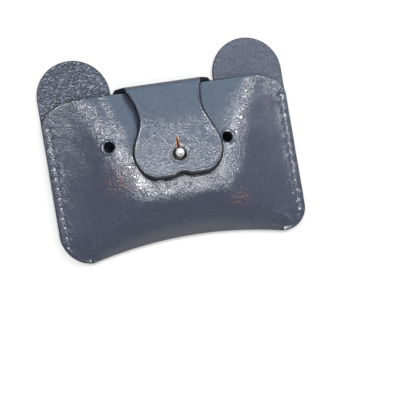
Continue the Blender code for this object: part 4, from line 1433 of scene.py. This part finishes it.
def stitch_places():
    """The middle of each stitch on both faces of both seams, and its turn as Euler angles."""
    places, turns = [], []
    for side in (-1, 1):
        for step in range(STITCH_HOLES - 1):
            up = SEAM_TOP_UP - STITCH_PITCH * (step + 0.5)
            across = side * SEAM_ACROSS
            spot = np.array([across]), np.array([up])
            front = placed(*spot, front_shape(*spot))[0]
            normal = Vector(front_normal(*spot)[0])
            back = placed(*spot, np.array([THREAD_RADIUS + STITCH_RISE]))[0]
            for place, outward, slant in ((front, normal, -side * THREAD_SLANT),
                                          (back, Vector((0, 0, -1)), side * THREAD_SLANT)):
                along = Matrix.Rotation(slant, 3, outward) @ Vector((0, 1, 0))
                right = along.cross(outward).normalized()
                along = outward.cross(right)
                turn = Matrix((right, along, outward)).transposed().to_euler()
                places.append(tuple(place))
                turns.append(tuple(turn))
    return places, turns


def make_stitches(material):
    places, turns = stitch_places()
    data = bpy.data.meshes.new("seam_stitches")
    data.from_pydata(places, [], [])
    data.attributes.new("facing", "FLOAT_VECTOR", "POINT").data.foreach_set(
        "vector", [value for turn in turns for value in turn])
    item = bpy.data.objects.new("seam_stitches", data)
    bpy.context.collection.objects.link(item)
    tree, values = stitch_tree(material)
    modifier = item.modifiers.new("stitches", "NODES")
    modifier.node_group = tree
    for identifier, value in values.items():
        modifier[identifier] = value
    seen = item.evaluated_get(bpy.context.evaluated_depsgraph_get())
    made = bpy.data.meshes.new_from_object(seen)
    item.modifiers.clear()
    item.data = made
    bpy.data.meshes.remove(data)
    body = bmesh.new()
    body.from_mesh(made)
    bmesh.ops.recalc_face_normals(body, faces=body.faces)
    body.to_mesh(made)
    body.free()
    made.shade_smooth()
    return item


# Metal

def face_direction():
    return Vector((0, math.sin(FACE_SLOPE), math.cos(FACE_SLOPE)))


def make_stud(finishes):
    """The ball, neck and base of the stud, turned from one rod."""
    base = STUD_BASE_HEIGHT
    centre = base + GAP + LEATHER + STUD_BALL_STANDOFF
    join_angle = math.asin(STUD_NECK_RADIUS / STUD_BALL_RADIUS)
    rim = arc((STUD_BASE_RADIUS - base / 2, base / 2), (base / 2,) * 2, -math.pi / 2, math.pi / 2,
              STUD_RIM_STEPS)
    ball = arc((0, centre), (STUD_BALL_RADIUS,) * 2, join_angle - math.pi / 2, math.pi / 2,
               STUD_BALL_STEPS)
    profile = [(0.0, 0.0)] + rim + [(STUD_NECK_RADIUS, base)] + ball[:-1]
    profile.append((0.0, centre + STUD_BALL_RADIUS))
    body = bmesh.new()
    points = [body.verts.new((radius, 0, height)) for radius, height in profile]
    edges = [body.edges.new(pair) for pair in zip(points, points[1:])]
    bmesh.ops.spin(body, geom=points + edges, axis=(0, 0, 1), cent=(0, 0, 0),
                   angle=2 * math.pi, steps=STUD_STEPS, use_duplicate=False)
    bmesh.ops.remove_doubles(body, verts=body.verts, dist=WELD)
    turned = Vector((0, 0, 1)).rotation_difference(face_direction()).to_matrix().to_4x4()
    # The base and neck take the second finish: nickel painted nearly black as shade
    for face in body.faces:
        low = max(point.co.z for point in face.verts) < centre - STUD_BALL_RADIUS * STUD_SHADED_SHARE
        face.material_index = 1 if low else 0
    bmesh.ops.transform(body, matrix=Matrix.Translation(stud_foot()) @ turned, verts=body.verts)
    return finished("ball_stud_turned", body, finishes)


# Room

def make_table():
    """A white table. What the camera sees of it is a little lit from within, as in a light
    tent, and more so far from the lamps. The rest is their light, so the wallet keeps its
    shadow. It lights the wallet as white paper does, and its mirror image in the leather is
    darker."""
    made, tree, shader, place = new_material("white_table_paper")
    seen = add_node(tree, "ShaderNodeLightPath", out="Is Camera Ray")
    mirrored = add_node(tree, "ShaderNodeLightPath", out="Is Glossy Ray")
    paper = add_node(tree, "ShaderNodeMix", {
        0: seen, 6: linear("#e7e7e7"), 7: linear("#b6b6b6")}, 2, data_type="RGBA")
    paper = add_node(tree, "ShaderNodeMix", {
        0: mirrored, 6: paper, 7: linear("#454545")}, 2, data_type="RGBA")
    away = add_node(tree, "ShaderNodeVectorMath", (place,), "Value", operation="LENGTH")
    glow = add_node(tree, "ShaderNodeMapRange", (away, 0.1, 1.3, 0.25, 1.0))
    glow = add_node(tree, "ShaderNodeMath", (seen, glow), operation="MULTIPLY")
    glow = add_node(tree, "ShaderNodeMath", (mirrored, 0.20, glow), operation="MULTIPLY_ADD")
    set_inputs(shader, {"Base Color": paper, "Roughness": 0.9,
                        "Emission Color": linear("#ffffff"), "Emission Strength": glow})
    body = bmesh.new()
    bmesh.ops.create_circle(body, cap_ends=True, segments=TABLE_STEPS, radius=TABLE_RADIUS)
    item = finished("table", body, [made])


def make_world():
    """A white room as the camera sees it. As a light it is bright along the horizon and dimmer
    above, as round a light tent."""
    world = bpy.data.worlds.new("room")
    bpy.context.scene.world = world
    world.use_nodes = True
    tree = world.node_tree
    direction = add_node(tree, "ShaderNodeTexCoord", out="Generated")
    rise = add_node(tree, "ShaderNodeSeparateXYZ", (direction,), "Z")
    light = add_node(tree, "ShaderNodeMapRange", (rise, 0.10, 0.22, 0.3, 0.13))
    seen = add_node(tree, "ShaderNodeLightPath", out="Is Camera Ray")
    strength = add_node(tree, "ShaderNodeMath", (light, seen), operation="ADD")
    set_inputs(tree.nodes["Background"], {"Color": linear("#ffffff"), "Strength": strength})


def make_lamp(name, place, size, radiance, tint):
    """A soft box that faces the wallet, level across, with its width and length in metres, and
    its brightness beside that of white paper."""
    data = bpy.data.lights.new(name, "AREA")
    data.shape = "RECTANGLE"
    data.size, data.size_y = size
    data.energy = radiance * 4.0 * size[0] * size[1]
    data.color = linear(tint)[:3]
    lamp = bpy.data.objects.new(name, data)
    back = Vector(place).normalized()
    right = Vector((back.z, 0, -back.x)).normalized()
    turned = Matrix((right, back.cross(right), back)).transposed().to_4x4()
    lamp.matrix_world = Matrix.Translation(place) @ turned
    bpy.context.collection.objects.link(lamp)


def make_camera():
    data = bpy.data.cameras.new("photograph_camera")
    data.sensor_width = 36.0
    data.lens = CAMERA_LENS_MM
    data.clip_start = 0.01
    camera = bpy.data.objects.new("photograph_camera", data)
    turned = Matrix((CAMERA_RIGHT, CAMERA_UP, CAMERA_BACK)).transposed().to_4x4()
    camera.matrix_world = Matrix.Translation(CAMERA_PLACE) @ turned
    bpy.context.collection.objects.link(camera)
    bpy.context.scene.camera = camera


def build():
    bpy.context.scene.view_settings.view_transform = "Standard"
    hide = [grain_leather(), flesh_leather(), painted_edge(), raw_edge()]
    for make, node in ((make_back_panel, "back_panel"), (make_front_panel, "front_panel"),
                       (make_bottom_turn, "bottom_turn")):
        item = make(hide)
        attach(item, "pouch")
        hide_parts(node)
    strap = make_strap(hide)
    # From the middle of the back's leather up to where the flap starts, at the strap's top
    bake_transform(strap)
    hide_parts("fold_strap")
    flap = make_flap(hide)
    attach(flap, "flap")
    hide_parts("flap")
    stud = make_stud([nickel_plate(), nickel_painted_as_shade()])
    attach(stud, "pouch")
    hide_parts("ball_stud")
    seams = make_stitches(waxed_thread())
    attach(seams, "pouch")
    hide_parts("left_seam_thread", "right_seam_thread")
    screw = frame["nodes"]["stud_screw"].data
    screw.materials.clear()
    screw.materials.append(zinc_plate())
    make_table()
    make_world()
    for softbox in SOFTBOXES:
        make_lamp(*softbox)
    make_camera()


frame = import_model()
build()
